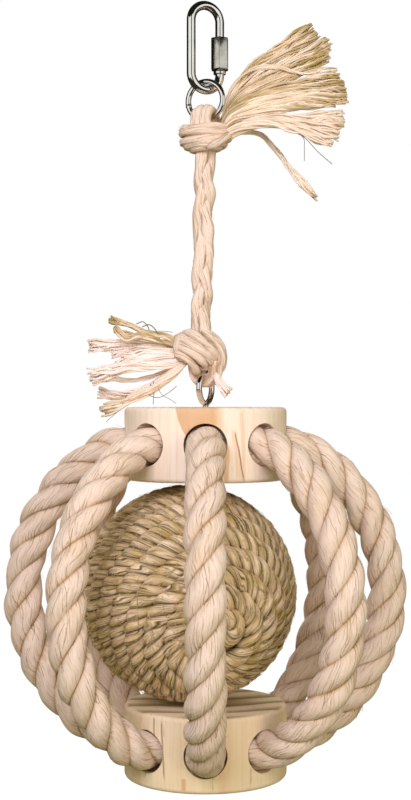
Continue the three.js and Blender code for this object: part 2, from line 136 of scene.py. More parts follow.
def smoothRoute(corners, count):
    # a smooth line through three or more chosen points
    corners = np.asarray(corners, float)
    knots = lengthsAlong(corners)
    slopes = np.gradient(corners, knots, axis=0)
    fine = np.linspace(0, knots[-1], count * 8)
    index = np.clip(np.searchsorted(knots, fine, side="right") - 1, 0, len(knots) - 2)
    width = (knots[index + 1] - knots[index])[:, None]
    t = (fine - knots[index])[:, None] / width
    line = ((2 * t**3 - 3 * t**2 + 1) * corners[index] + (t**3 - 2 * t**2 + t) * width * slopes[index]
            + (3 * t**2 - 2 * t**3) * corners[index + 1] + (t**3 - t**2) * width * slopes[index + 1])
    return evenly(line, count)


def sidesOf(points, normals=None):
    # two directions square to the line at each point: from normals, or carried along without twisting
    tangents = unit(np.gradient(points, axis=0))
    if normals is None:
        side = np.array((0.0, 0.0, 1.0)) if abs(tangents[0, 2]) < 0.9 else np.array((1.0, 0.0, 0.0))
        normals = np.zeros_like(points)
        for i, tangent in enumerate(tangents):
            side = side - tangent * (side @ tangent)
            side = side / np.linalg.norm(side)
            normals[i] = side
    else:
        normals = unit(normals - tangents * np.sum(normals * tangents, axis=1, keepdims=True))
    return normals, np.cross(tangents, normals)


def slowNoise(at, wavelength, rng, waves=4):
    # smooth wandering between about -1 and 1
    total = np.zeros_like(at)
    for _ in range(waves):
        total += np.sin(at * fullTurn / (wavelength * rng.uniform(0.7, 1.6)) + rng.uniform(0, fullTurn))
    return total / waves**0.5


def ripple(across, along, wavelength, rng, waves=6):
    # smooth wandering over a surface, between about -1 and 1
    total = 0.0
    for _ in range(waves):
        total = total + np.sin(across * rng.uniform(-2.4, 2.4) + rng.uniform(0, fullTurn)
                               + along * fullTurn / (wavelength * rng.uniform(0.6, 2.0)))
    return total / waves**0.5


# skeins: many closed tubes gathered into one mesh, with the coordinates that their finish reads

# bare edges of a tube's cell on the bake map, and how far the fans that close its ends reach into them
bakeEdge = {"side": 0.04, "end": 0.03, "fan": 0.02}
wholeMap = (0, 0, 1, 1)


def gridCells(count, within=wholeMap, fill=0.96):
    # equal cells of the bake map, one for each tube of a skein
    across = math.ceil(max(count, 1) ** 0.5)
    x, y, wide, high = within
    wide, high = wide / across, high / across
    return [(x + wide * (i % across), y + high * (i // across), wide * fill, high * fill)
            for i in range(count)]


def splitCell(cell):
    # most of a cell for a strand, and a strip beside it for the strand's hairs
    x, y, wide, high = cell
    return (x, y, wide, high * 0.88), (x, y + high * 0.9, wide, high * 0.1)


def newSkein():
    lists = ("points", "quads", "tips", "quadLay", "tipLay", "quadBake", "tipBake", "tint", "groove")
    return {**{name: [] for name in lists}, "size": 0}


def addTube(skein, rings, left, right, along, tint, groove, cell, strips=1):
    # rings of points; left and right are each column's across-yarn coordinates, along is the distance
    count, sides = rings.shape[:2]
    base = skein["size"]
    perStrip = math.ceil((count - 1) / strips)
    place, size = np.array(cell[:2]), np.array(cell[2:])

    def bakeAt(row, column, strip):
        # a place on the bake map, where a long tube is cut into strips that lie side by side
        x = (strip + bakeEdge["side"] + (1 - 2 * bakeEdge["side"]) * column / sides) / strips
        y = bakeEdge["end"] + (1 - 2 * bakeEdge["end"]) * (row - strip * perStrip) / perStrip
        return place + size * np.stack(np.broadcast_arrays(x, y), -1)

    i, j = np.meshgrid(np.arange(count - 1), np.arange(sides), indexing="ij")
    corner = base + i * sides + j
    beside = base + i * sides + (j + 1) % sides
    quads = np.stack([corner, beside, beside + sides, corner + sides], axis=-1)
    ends = np.stack([rings[0].mean(0), rings[-1].mean(0)])
    skein["points"] += [rings.reshape(-1, 3), ends]
    skein["quads"].append(quads.reshape(-1, 4))
    far = np.broadcast_to(along[:, None], (count, sides))
    lay = np.stack([np.stack([left[:-1], far[:-1]], -1), np.stack([right[:-1], far[:-1]], -1),
                    np.stack([right[1:], far[1:]], -1), np.stack([left[1:], far[1:]], -1)], axis=2)
    skein["quadLay"].append(lay.reshape(-1, 4, 2))
    strip = i // perStrip
    bake = np.stack([bakeAt(i, j, strip), bakeAt(i, j + 1, strip),
                     bakeAt(i + 1, j + 1, strip), bakeAt(i + 1, j, strip)], axis=2)
    skein["quadBake"].append(bake.reshape(-1, 4, 2))
    around = np.arange(sides)
    after = (around + 1) % sides
    first = base + count * sides
    last = first + 1
    top = base + (count - 1) * sides
    skein["tips"].append(np.stack([after + base, around + base, np.full(sides, first)], axis=1))
    skein["tips"].append(np.stack([around + top, after + top, np.full(sides, last)], axis=1))
    for row, flip, way in ((0, True, -1), (count - 1, False, 1)):
        a, b = np.stack([left[row], far[row]], -1), np.stack([right[row], far[row]], -1)
        middle = (a + b) / 2
        skein["tipLay"].append(np.stack([b, a, middle] if flip else [a, b, middle], axis=1))
        strip = max(row - 1, 0) // perStrip
        a, b = bakeAt(row, around, strip), bakeAt(row, around + 1, strip)
        middle = (a + b) / 2 + size * np.array((0.0, way * bakeEdge["fan"]))
        skein["tipBake"].append(np.stack([b, a, middle] if flip else [a, b, middle], axis=1))
    for name, value in (("tint", tint), ("groove", groove)):
        value = np.asarray(value, float)
        spread = np.broadcast_to(value[:, None] if value.ndim == 1 else value, (count, sides))
        skein[name] += [spread.reshape(-1), np.array([spread[0, 0], spread[-1, 0]])]
    skein["size"] += count * sides + 2


def knit(name, skein, material):
    # makes the gathered tubes one mesh object
    quads = np.concatenate(skein["quads"])
    tips = np.concatenate(skein["tips"])
    mesh = bpy.data.meshes.new(name)
    points = np.concatenate(skein["points"])
    mesh.vertices.add(len(points))
    mesh.vertices.foreach_set("co", points.astype(np.float32).ravel())
    mesh.loops.add(quads.size + tips.size)
    corners = np.concatenate([quads.ravel(), tips.ravel()])
    mesh.loops.foreach_set("vertex_index", corners.astype(np.int32))
    starts = np.concatenate([np.arange(len(quads)) * 4, quads.size + np.arange(len(tips)) * 3])
    mesh.polygons.add(len(starts))
    mesh.polygons.foreach_set("loop_start", starts.astype(np.int32))
    mesh.polygons.foreach_set("use_smooth", np.ones(len(starts), bool))
    mesh.update(calc_edges=True)
    for layer, quadName, tipName in (("lay", "quadLay", "tipLay"), ("OFBake", "quadBake", "tipBake")):
        values = np.concatenate([np.concatenate(skein[quadName]).ravel(),
                                 np.concatenate(skein[tipName]).ravel()])
        mesh.uv_layers.new(name=layer).uv.foreach_set("vector", values.astype(np.float32))
    mesh.uv_layers["lay"].active_render = True
    for attribute in ("tint", "groove"):
        values = np.concatenate(skein[attribute]).astype(np.float32)
        mesh.attributes.new(attribute, "FLOAT", "POINT").data.foreach_set("value", values)
    mesh.materials.append(material)
    piece = bpy.data.objects.new(name, mesh)
    bpy.context.scene.collection.objects.link(piece)
    return piece


# rope: strands laid round each other, each with its own yarns

yarnLevels = 97             # heights drawn for the yarns of a strand before they repeat
yarnFoot = 0.75             # the part of a yarn's round that lies below the strand's surface
# how the yarns of a laid rope wander, the lengths in rope radii
laidRope = {"wander": 0.35, "wanderLength": 5, "strayLength": 3, "plumpLength": 4, "swayLength": 6,
            "proudShare": 0.35, "proudTint": 0.16, "creasePower": 12, "creaseFade": 0.6}
# how loose hairs lie: their gap to the rope, how far a free end stands off, the share of brown ones and the
# longest as a share of the strand
lyingHairs = {"clear": 0.00004, "stand": (0.0004, 0.0018), "brown": 0.8, "tint": 0.9, "longest": 0.7,
              "points": 7, "sides": 3}


def yarnRelief(yarn, rng):
    # how far each point stands on the round of its yarn, and how proud that yarn lies
    inYarn = yarn % 1
    ridge = np.sqrt(np.maximum(0, 1 - (2 * inYarn - 1) ** 2)) - yarnFoot
    levels = rng.uniform(-1, 1, yarnLevels)
    return ridge, levels[np.floor(yarn).astype(int) % yarnLevels]


def layRope(skein, points, normals, spec, rng, swell, cell, strips):
    # swell scales the strands along the rope; cell and strips say where the rope goes on the bake map
    strands, columns, radius = spec["strands"], spec["columns"], spec["radius"]
    along = lengthsAlong(points)
    side, across = sidesOf(points, normals)
    shift = spec["lobeShift"] * radius            # how far a strand's middle lies from the rope's middle
    lobeRadius = radius - shift
    reach = math.pi / strands
    angle = np.linspace(-reach, reach, columns + 1)
    lobe = shift * np.cos(angle) + np.sqrt(lobeRadius**2 - (shift * np.sin(angle)) ** 2)
    roundStrand = np.arctan2(lobe * np.sin(angle), lobe * np.cos(angle) - shift)
    perTurn = spec["yarns"] / fullTurn
    lean = fullTurn * radius / (spec["layLength"] * lobeRadius) * spec["yarnLean"]
    near = np.exp(-(np.minimum(along, along[-1] - along) / spec["endReach"]) ** 2) * spec["tighten"]
    turn = lengthsOf(1 + near, along) * fullTurn / spec["layLength"] + rng.uniform(0, fullTurn)
    crease = np.abs(angle / reach) ** spec["creasePower"]
    fade = 1 - crease * spec["creaseFade"]
    yarn, out, theta, tint = np.empty((4, len(points), strands, columns + 1))
    for k in range(strands):
        wander = spec["wander"] * slowNoise(along, spec["wanderLength"] * radius, rng)
        stray = spec["stray"] * ripple(roundStrand[None], along[:, None], spec["strayLength"] * radius, rng)
        yarn[:, k] = (perTurn * (roundStrand + lean * along[:, None]) + wander[:, None] + stray
                      + rng.uniform(0, 50))
        ridge, proud = yarnRelief(yarn[:, k], rng)
        plump = swell * (1 + spec["uneven"] * slowNoise(along, spec["plumpLength"] * radius, rng))
        rough = spec["yarnDepth"] * (ridge + spec["proudShare"] * proud)
        out[:, k] = lobe * plump[:, None] + rough * fade - spec["creaseDepth"] * crease
        sway = spec["loose"] * slowNoise(along, spec["swayLength"] * radius, rng)[:, None]
        theta[:, k] = (turn[:, None] + k * fullTurn / strands + angle
                       + sway * (1 - np.abs(angle / reach)) ** 0.5)
        tone = spec["toneDepth"] * slowNoise(along, spec["toneLength"], rng)
        tint[:, k] = 0.5 + tone[:, None] + spec["proudTint"] * proud
    # neighbouring strands share the points of the crease between them
    out[:, :, 0] = (out[:, :, 0] + np.roll(out[:, :, -1], 1, axis=1)) / 2
    radial, theta, left, right, tint = (
        part.reshape(len(points), -1)
        for part in (out[:, :, :-1], theta[:, :, :-1], yarn[:, :, :-1], yarn[:, :, 1:], tint[:, :, :-1]))
    wide = spec["widen"] * np.sin(theta)
    rings = (points[:, None] + radial[..., None] * (np.cos(theta)[..., None] * side[:, None]
                                                     + wide[..., None] * across[:, None]))
    groove = np.broadcast_to(np.tile(np.abs(angle[:-1] / reach), strands), radial.shape)
    addTube(skein, rings, left, right, along, tint, groove, cell, strips)
    return rings


def flatStrand(skein, points, normals, wide, thick, spec, rng, cell, tint):
    # one soft strand of side-by-side yarns; wide and thick may change along it
    count, columns = len(points), spec["columns"]
    along = lengthsAlong(points)
    side, across = sidesOf(points, normals)
    angle = np.linspace(0, fullTurn, columns + 1)
    twist = spec["twist"] * along + rng.uniform(0, fullTurn)
    yarn = spec["yarns"] * (angle[None] / fullTurn) + (twist * spec["yarns"] / fullTurn)[:, None]
    wander = spec["wander"] * slowNoise(along, spec["wanderLength"], rng)
    stray = spec["stray"] * ripple(np.sin(angle)[None], along[:, None], spec["strayLength"], rng)
    yarn = yarn + wander[:, None] + stray
    yarn[:, -1] = yarn[:, 0] + spec["yarns"]
    ridge, proud = yarnRelief(yarn[:, :-1], rng)
    rough = spec["yarnDepth"] * (ridge + spec["proudShare"] * proud)
    wide = np.broadcast_to(np.asarray(wide, float), (count,))[:, None] / 2
    thick = np.broadcast_to(np.asarray(thick, float), (count,))[:, None] / 2
    plump = 1 + spec["uneven"] * slowNoise(along, spec["plumpLength"], rng)[:, None]
    cos, sin = np.cos(angle[:-1])[None], np.sin(angle[:-1])[None]
    fullness = spec["fullness"]             # 2 is an oval, more is squarer
    square = 1 / (np.abs(cos) ** fullness + np.abs(sin) ** fullness) ** (1 / fullness)
    normalPart = (thick * plump * square + rough) * cos
    acrossPart = (wide * plump * square + rough) * sin
    rings = points[:, None] + normalPart[..., None] * side[:, None] + acrossPart[..., None] * across[:, None]
    shade = tint + spec["proudTint"] * proud
    strandCell, hairCell = splitCell(cell)
    groove = np.abs(sin) * np.ones((count, 1))
    addTube(skein, rings, yarn[:, :-1], yarn[:, 1:], along, shade, groove, strandCell)
    strewHairs(skein, rings, points, spec["hairs"], rng, hairCell)


def addYarn(skein, points, thickness, sides, tint, cell, groove=0.0):
    # a single thin yarn or hair
    count = len(points)
    side, across = sidesOf(points)
    angle = np.arange(sides) * fullTurn / sides
    radius = np.broadcast_to(np.asarray(thickness, float) / 2, (count,))[:, None, None]
    rings = points[:, None] + radius * (np.cos(angle)[:, None] * side[:, None]
                                        + np.sin(angle)[:, None] * across[:, None])
    left = np.broadcast_to(np.arange(sides) / sides, (count, sides))
    addTube(skein, rings, left, left + 1 / sides, lengthsAlong(points), tint, groove, cell)


def strewHairs(skein, rings, points, hairs, rng, cell):
    # loose hairs along the yarns of a tube: brown ones lie on it, some pale ones have an end standing off
    count, sides = rings.shape[:2]
    along = lengthsAlong(points)
    u = np.linspace(0, 1, hairs["points"])
    for box in gridCells(round(along[-1] * hairs["perMetre"]), cell):
        length = min(rng.uniform(*hairs["length"]), hairs["longest"] * along[-1])
        rows = length / along[-1] * (count - 3)
        i = rng.uniform(1, count - 2 - rows) + rows * u
        slope = hairs["drift"] * length * rng.uniform(0.6, 1.3)
        start = rng.uniform(0, sides)
        if rng.random() < hairs["atCrease"]:
            start = sides / hairs["creases"] * rng.integers(hairs["creases"]) - slope * rng.uniform(0.3, 1.0)
        j = start + slope * u + rng.uniform(-1, 1) * np.sin(u * 3)
        row, column = np.floor(i).astype(int), np.floor(j).astype(int)
        f, g = (i - row)[:, None], (j - column)[:, None]
        place = ((1 - f) * ((1 - g) * rings[row, column % sides] + g * rings[row, (column + 1) % sides])
                 + f * ((1 - g) * rings[row + 1, column % sides] + g * rings[row + 1, (column + 1) % sides]))
        out = unit(place - ((1 - f) * points[row] + f * points[row + 1]))
        standing = rng.random() < hairs["standing"]
        lift = hairs["clear"] + (rng.uniform(*hairs["stand"]) * u**2 if standing else 0.0 * u)
        brown = not standing and rng.random() < hairs["brown"]
        width = hairs["width"] * rng.uniform(0.6, 1.3)
        groove = 1.0 if brown else 0.0
        addYarn(skein, place + out * lift[:, None], width, hairs["sides"], hairs["tint"], box, groove)


# finishes

def newFinish(name):
    material = bpy.data.materials.new(name)
    material.use_nodes = True
    tree = material.node_tree
    return material, tree, tree.nodes["Principled BSDF"]


def addNode(tree, kind, **settings):
    made = tree.nodes.new(kind)
    for key, value in settings.items():
        if key in made.inputs:
            made.inputs[key].default_value = value
        else:
            setattr(made, key, value)
    return made


def wire(tree, source, target):
    tree.links.new(source, target)


def feed(tree, socket, value):
    # value is another node's socket or a plain value
    if isinstance(value, bpy.types.NodeSocket):
        wire(tree, value, socket)
    else:
        socket.default_value = value


def mixPaint(tree, amount, one, other):
    mix = addNode(tree, "ShaderNodeMix", data_type="RGBA")
    for place, value in ((0, amount), (6, one), (7, other)):
        feed(tree, mix.inputs[place], value)
    return mix.outputs[2]


def arithmetic(tree, operation, one, other=0.0):
    made = addNode(tree, "ShaderNodeMath", operation=operation)
    feed(tree, made.inputs[0], one)
    feed(tree, made.inputs[1], other)
    return made.outputs[0]


def plus(tree, one, other):
    return arithmetic(tree, "ADD", one, other)


def minus(tree, one, other):
    return arithmetic(tree, "SUBTRACT", one, other)


def times(tree, one, other):
    return arithmetic(tree, "MULTIPLY", one, other)


def splitUp(tree, vector):
    # the X, Y and Z of a vector
    made = addNode(tree, "ShaderNodeSeparateXYZ")
    wire(tree, vector, made.inputs[0])
    return made.outputs


def ranged(tree, value, low, high, toLow=0.0, toHigh=1.0, smooth=False):
    made = addNode(tree, "ShaderNodeMapRange")
    if smooth:
        made.interpolation_type = "SMOOTHSTEP"
    wire(tree, value, made.inputs["Value"])
    for key, number in (("From Min", low), ("From Max", high), ("To Min", toLow), ("To Max", toHigh)):
        made.inputs[key].default_value = number
    return made.outputs["Result"]


def noise(tree, vector, scale, detail=3.0, roughness=0.55):
    made = addNode(tree, "ShaderNodeTexNoise", Scale=scale, Detail=detail, Roughness=roughness)
    wire(tree, vector, made.inputs["Vector"])
    return made.outputs["Fac"]


def stretched(tree, vector, scale):
    made = addNode(tree, "ShaderNodeMapping", Scale=scale)
    wire(tree, vector, made.inputs["Vector"])
    return made.outputs["Vector"]


def placeOn(tree):
    # where a point lies in the part's frame
    return addNode(tree, "ShaderNodeTexCoord").outputs["Object"]


def carried(tree, name):
    # a value that the mesh's points carry
    return addNode(tree, "ShaderNodeAttribute", attribute_name=name).outputs["Fac"]


def addBump(tree, shader, height, strength, depth):
    bump = addNode(tree, "ShaderNodeBump", Strength=strength, Distance=depth)
    wire(tree, height, bump.inputs["Height"])
    wire(tree, bump.outputs["Normal"], shader.inputs["Normal"])


def fibreFinish(name, colours, fibre):
    # laid or bundled plant fibre: yarn lines, fibre streaks, soft blotches, and painted shade: narrow dark
    # crease lines and a darkening beside them
    material, tree, shader = newFinish(name)
    colours = paints(colours)
    lay = addNode(tree, "ShaderNodeUVMap", uv_map="lay").outputs["UV"]
    acrossYarns = splitUp(tree, lay)["X"]
    groove = carried(tree, "groove")
    crease = arithmetic(tree, "POWER", groove, fibre["creasePower"])
    edge = arithmetic(tree, "POWER", groove, 3.0)
    inYarn = arithmetic(tree, "PINGPONG", acrossYarns, 0.5)      # 0 in the valley, 0.5 on the yarn
    valley = ranged(tree, inYarn, 0.0, fibre["valleyWidth"], 1.0, 0.0, smooth=True)
    each = addNode(tree, "ShaderNodeTexWhiteNoise", noise_dimensions="1D")
    wire(tree, arithmetic(tree, "ROUND", acrossYarns), each.inputs["W"])
    broken = noise(tree, stretched(tree, lay, (0.35, fibre["along"] * 1.2, 1)), 1.0, 2.0)
    valley = times(tree, valley, ranged(tree, each.outputs["Value"], 0.35, 0.8, 0.1, 1.0))
    valley = times(tree, valley, ranged(tree, broken, 0.42, 0.54, 0.05, 1.0))
    shown = plus(tree, times(tree, edge, fibre["valleyEdge"]), fibre["valley"])
    streak = noise(tree, stretched(tree, lay, (fibre["across"], fibre["along"], 1)), 1.0, 5.0, 0.65)
    hair = noise(tree, stretched(tree, lay, (fibre["across"] * 3.1, fibre["along"] * 1.7, 1)), 1.0, 2.0)
    place = placeOn(tree)
    blotch = noise(tree, place, fibre["blotch"], 3.0)
    tint = carried(tree, "tint")
    body = mixPaint(tree, ranged(tree, tint, 0.15, 0.85), colours["shade"], colours["pale"])
    body = mixPaint(tree, ranged(tree, blotch, 0.42, 0.68), body, colours["blush"])
    body = mixPaint(tree, ranged(tree, streak, 0.48, 0.64, 0.0, fibre["streak"]), body, colours["dark"])
    body = mixPaint(tree, ranged(tree, hair, 0.52, 0.72, 0.0, fibre["hair"]), body, colours["light"])
    # painted shade: the colour darkens towards each crease
    body = mixPaint(tree, times(tree, edge, fibre["edgeShade"]), body, colours["dark"])
    body = mixPaint(tree, times(tree, valley, shown), body, colours["line"])
    # painted shade: the creases show as thin dark lines, stronger in some stretches; brown hairs, whose
    # groove is 1, take this colour as their own
    patchy = noise(tree, place, fibre["blotch"] * 1.7, 2.0)
    patchy = ranged(tree, patchy, 0.38, 0.6, 0.45 * fibre["groove"], fibre["groove"])
    body = mixPaint(tree, times(tree, crease, patchy), body, colours["creaseShadeAndHair"])
    wire(tree, body, shader.inputs["Base Color"])
    height = minus(tree, streak, times(tree, valley, 0.8))
    height = plus(tree, height, times(tree, hair, 0.5))
    addBump(tree, shader, height, fibre["bump"], fibre["bumpDepth"])
    wire(tree, ranged(tree, streak, 0.3, 0.8, 0.82, 0.98), shader.inputs["Roughness"])
    shader.inputs["Specular IOR Level"].default_value = 0.2
    shader.inputs["Sheen Weight"].default_value = fibre["sheen"]
    shader.inputs["Sheen Roughness"].default_value = 0.6
    return material


def steelFinish(name, colours, wear):
    # bright plated steel with faint drawing lines and cloudy patches
    material, tree, shader = newFinish(name)
    colours = paints(colours)
    place = placeOn(tree)
    cloud = noise(tree, place, wear["cloud"], 4.0)
    lines = noise(tree, stretched(tree, place, wear["lineScale"]), 1.0, 3.0)
    tone = mixPaint(tree, ranged(tree, cloud, 0.35, 0.7), colours["bright"], colours["dull"])
    wire(tree, tone, shader.inputs["Base Color"])
    rough = plus(tree, ranged(tree, cloud, 0.3, 0.75, wear["smoothest"], wear["roughest"]),
                 ranged(tree, lines, 0.4, 0.7, 0.0, 0.05))
    wire(tree, rough, shader.inputs["Roughness"])
    addBump(tree, shader, lines, 0.02, 0.0001)
    shader.inputs["Metallic"].default_value = 1.0
    return material


def pineFinish(name, colours, grain):
    # pine with its grain along Z: growth rings round a pith beside the disc, fibre flecks, a warm patch
    material, tree, shader = newFinish(name)
    colours = paints(colours)
    place = placeOn(tree)
    here = splitUp(tree, place)
    cloud = noise(tree, place, grain["cloud"], 3.0)
    fibres = noise(tree, stretched(tree, place, grain["fibres"]), 1.0, 4.0, 0.6)
    flecks = noise(tree, stretched(tree, place, grain["flecks"]), 1.0, 2.0, 0.5)
    front = ranged(tree, here["Y"], *grain["front"])
    drift = minus(tree, cloud, 0.5)

    # growth rings
    centred = addNode(tree, "ShaderNodeMapping", Location=[-c for c in grain["pith"]])
    wire(tree, place, centred.inputs["Vector"])
    fromPith = splitUp(tree, centred.outputs["Vector"])
    far = arithmetic(tree, "SQRT", plus(tree, arithmetic(tree, "POWER", fromPith["X"], 2.0),
                                        arithmetic(tree, "POWER", fromPith["Y"], 2.0)))
    bent = addNode(tree, "ShaderNodeTexNoise", Scale=grain["bend"], Detail=2.0)
    wire(tree, stretched(tree, place, (1, 1, 0.25)), bent.inputs["Vector"])
    far = plus(tree, far, times(tree, bent.outputs["Fac"], grain["waver"]))
    year = arithmetic(tree, "FRACT", arithmetic(tree, "DIVIDE", far, grain["ringWidth"]))
    late = times(tree, ranged(tree, year, 0.35, 0.9, smooth=True),
                 ranged(tree, year, 0.93, 1.0, 1.0, 0.0, smooth=True))

    # the warm patch on the front of the rim, its left edge bowed
    patch = grain["patch"]
    sunk = minus(tree, patch["top"], here["Z"])
    left = plus(tree, times(tree, arithmetic(tree, "POWER", sunk, 2.0), patch["bow"]), patch["left"])
    left = plus(tree, left, times(tree, drift, grain["patchDrift"]))
    warm = ranged(tree, minus(tree, here["X"], left), 0.0, patch["leftEdge"], smooth=True)
    warm = times(tree, warm, ranged(tree, here["X"], patch["right"], patch["right"] - patch["rightEdge"],
                                    smooth=True))
    warm = times(tree, times(tree, warm, front), ranged(tree, cloud, 0.3, 0.6, 0.6, 1.0))

    body = mixPaint(tree, ranged(tree, cloud, 0.35, 0.7), colours["pale"], colours["cream"])
    body = mixPaint(tree, times(tree, warm, grain["warmth"]), body, colours["warm"])
    body = mixPaint(tree, times(tree, late, grain["lateRim"]), body, colours["late"])
    facing = splitUp(tree, addNode(tree, "ShaderNodeNewGeometry").outputs["True Normal"])
    onFace = ranged(tree, arithmetic(tree, "ABSOLUTE", facing["Z"]), 0.75, 0.95)
    ringShare = times(tree, times(tree, late, onFace), grain["lateFace"])
    body = mixPaint(tree, ringShare, body, colours["lateFace"])
    body = mixPaint(tree, ranged(tree, fibres, 0.5, 0.75, 0.0, 0.35), body, colours["fibre"])
    body = mixPaint(tree, ranged(tree, flecks, 0.66, 0.74, 0.0, grain["fleck"]), body, colours["fleck"])

    # marks: thin wandering lines down the front of the rim, such as a check or a resin streak
    crack = None
    for (x0, z0), (x1, z1), width, depth, tone in grain["marks"]:
        down = ranged(tree, here["Z"], z0, z1)
        lineX = plus(tree, ranged(tree, here["Z"], z0, z1, x0, x1), times(tree, drift, grain["markDrift"]))
        off = arithmetic(tree, "ABSOLUTE", minus(tree, here["X"], lineX))
        mark = times(tree, ranged(tree, off, width, width * 2.4, depth, 0.0, smooth=True), front)
        mark = times(tree, mark, ranged(tree, down, 0.0, 0.08))
        mark = times(tree, mark, ranged(tree, down, 0.85, 1.0, 1.0, 0.0))
        body = mixPaint(tree, mark, body, paint(*tone))
        crack = mark if crack is None else crack         # only the first mark is cut into the wood
    wire(tree, body, shader.inputs["Base Color"])
    height = minus(tree, fibres, times(tree, late, 0.3))
    height = minus(tree, height, crack)
    addBump(tree, shader, height, 0.25, 0.0003)
    wire(tree, ranged(tree, fibres, 0.3, 0.8, 0.55, 0.75), shader.inputs["Roughness"])
    shader.inputs["Specular IOR Level"].default_value = 0.35
    return material


# camera, at the photograph's height and distance

photoView = {"height": 800, "focalPixels": 1486, "distance": 0.780, "eyeLevel": -0.2063, "horizonRow": 403}


def makeCamera(view):
    clearSelection()
    bpy.ops.object.camera_add(location=(0, -view["distance"], view["eyeLevel"]), rotation=(math.pi / 2, 0, 0))
    camera = bpy.context.object
    camera.data.sensor_fit = "VERTICAL"
    camera.data.lens = camera.data.sensor_height * view["focalPixels"] / view["height"]
    camera.data.shift_y = (view["horizonRow"] - view["height"] / 2) / view["height"]
    camera.data.clip_start = 0.01
    bpy.context.scene.camera = camera


makeCamera(photoView)
print("camera set")


# cage ropes: eight bowed three-strand ropes from disc to disc

ropeFinish = fibreFinish(
    "cage rope cotton",
    {"pale": (243, 220, 211), "shade": (234, 207, 190), "blush": (242, 217, 209), "dark": (212, 180, 150),
     "light": (247, 231, 224), "line": (150, 112, 68), "creaseShadeAndHair": (164, 118, 58)},
    {"valleyWidth": 0.22, "across": 2.0, "along": 100.0, "blotch": 42.0, "streak": 0.7, "hair": 0.5,
     "creasePower": 16.0, "valley": 0.35, "valleyEdge": 0.8, "groove": 1.0, "bump": 0.8, "bumpDepth": 0.0005,
     "sheen": 0.1, "edgeShade": 0.30})

cageRope = {
    **laidRope, "count": 8, "strands": 3, "radius": 0.0100, "layLength": 0.050, "lobeShift": 0.31,
    "columns": 36, "yarns": 30, "yarnLean": 0.92, "yarnDepth": 0.00024, "creaseDepth": 0.00042,
    "uneven": 0.05, "loose": 0.16, "stray": 0.35, "toneDepth": 0.24, "toneLength": 0.05, "widen": 1.0,
    "step": 0.00055, "tighten": 0.0, "strips": 2, "seed": 40,
    "hairs": {**lyingHairs, "perMetre": 2200, "length": (0.004, 0.013), "width": 0.00020, "drift": -2080.0,
              "standing": 0.12, "creases": 3, "atCrease": 0.6},
    "endSwell": 0.97, "belly": 0.035, "bellyPower": 0.7,
    "endReach": 0.03017,        # the ends stop here, inside the wood
    "bendStart": 0.0360,        # the bend at a hole's mouth starts here
    "bendRadius": 0.0400,
    "bowReach": 0.0953,         # centreline at the widest
    "bendPoints": 60, "bowPoints": 120, "planPoints": 400, "pathPoints": 40,
}


def middleOf(node):
    low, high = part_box(node)
    return (low.z + high.z) / 2


def cageRopeLine(rope):
    # centreline in the radial plane, from the top disc down to the bottom disc, as (reach, height)
    top, bottom = middleOf("top_disc"), middleOf("bottom_disc")
    middle, rise = (top + bottom) / 2, (top - bottom) / 2
    level = rise - rope["bendRadius"]
    span = rope["bowReach"] - rope["bendRadius"]
    bowCentre = (span**2 - rope["bendStart"] ** 2 - level**2) / (2 * (span - rope["bendStart"]))
    bowRadius = rope["bowReach"] - bowCentre
    bowAngle = math.atan2(level, rope["bendStart"] - bowCentre)
    upper = [(rope["endReach"], rise), (rope["bendStart"], rise)]
    for angle in np.linspace(math.pi / 2, bowAngle, rope["bendPoints"])[1:]:
        upper.append((rope["bendStart"] + rope["bendRadius"] * math.cos(angle),
                      level + rope["bendRadius"] * math.sin(angle)))
    for angle in np.linspace(bowAngle, 0, rope["bowPoints"])[1:]:
        upper.append((bowCentre + bowRadius * math.cos(angle), bowRadius * math.sin(angle)))
    whole = upper + [(reach, -height) for reach, height in reversed(upper[:-1])]
    return evenly([(reach, 0.0, middle + height) for reach, height in whole], rope["planPoints"])


def makeCageRopes(rope):
    plan = cageRopeLine(rope)
    ropeLength = lengthsAlong(plan)[-1]
    steps = round(ropeLength / rope["step"])
    flat = evenly(plan, steps)
    swell = rope["endSwell"] + rope["belly"] * np.sin(np.linspace(0, math.pi, steps)) ** rope["bellyPower"]
    ropeCell, hairCell = splitCell(wholeMap)
    for i in range(rope["count"]):
        rng = np.random.default_rng(rope["seed"] + i)
        angle = ringAngle(i, rope["count"])
        out = np.array((math.cos(angle), math.sin(angle), 0.0))
        points = flat[:, :1] * out + flat[:, 2:] * np.array((0.0, 0.0, 1.0))
        skein = newSkein()
        rings = layRope(skein, points, None, rope, rng, swell, ropeCell, rope["strips"])
        strewHairs(skein, rings, points, rope["hairs"], rng, hairCell)
        piece = knit(f"laid_rope_{i + 1}", skein, ropeFinish)
        takePart(piece, "cage", [f"cage_rope_{i + 1}"])
    print("cage ropes laid:", rope["count"], "of", round(ropeLength * 1000), "mm")


makeCageRopes(cageRope)


# hanger plait: three soft strands between the knots

hangerFinish = fibreFinish(
    "hanger soft cotton",
    {"pale": (248, 226, 217), "shade": (236, 209, 192), "blush": (246, 222, 214), "dark": (210, 178, 146),
     "light": (247, 231, 223), "line": (150, 112, 64), "creaseShadeAndHair": (160, 118, 62)},
    {"valleyWidth": 0.26, "across": 2.0, "along": 90.0, "blotch": 60.0, "streak": 0.6, "hair": 0.4,
     "creasePower": 8.0, "valley": 0.5, "valleyEdge": 0.3, "groove": 0.8, "bump": 0.5, "bumpDepth": 0.0005,
     "sheen": 0.1, "edgeShade": 0.2})

softStrand = {
    "columns": 48, "yarns": 17, "twist": 60.0, "yarnDepth": 0.00026, "uneven": 0.10, "stray": 0.5,
    "wander": 0.4, "wanderLength": 0.020, "strayLength": 0.018, "plumpLength": 0.015, "proudShare": 0.6,
    "proudTint": 0.18, "fullness": 2.4, "step": 0.0008, "leastSteps": 14, "tip": 0.45, "tipPower": 0.6,
    "hairs": {**lyingHairs, "perMetre": 700, "length": (0.005, 0.015), "width": 0.00026, "drift": -458.0,
              "standing": 0.15, "creases": 2, "atCrease": 0.0}}

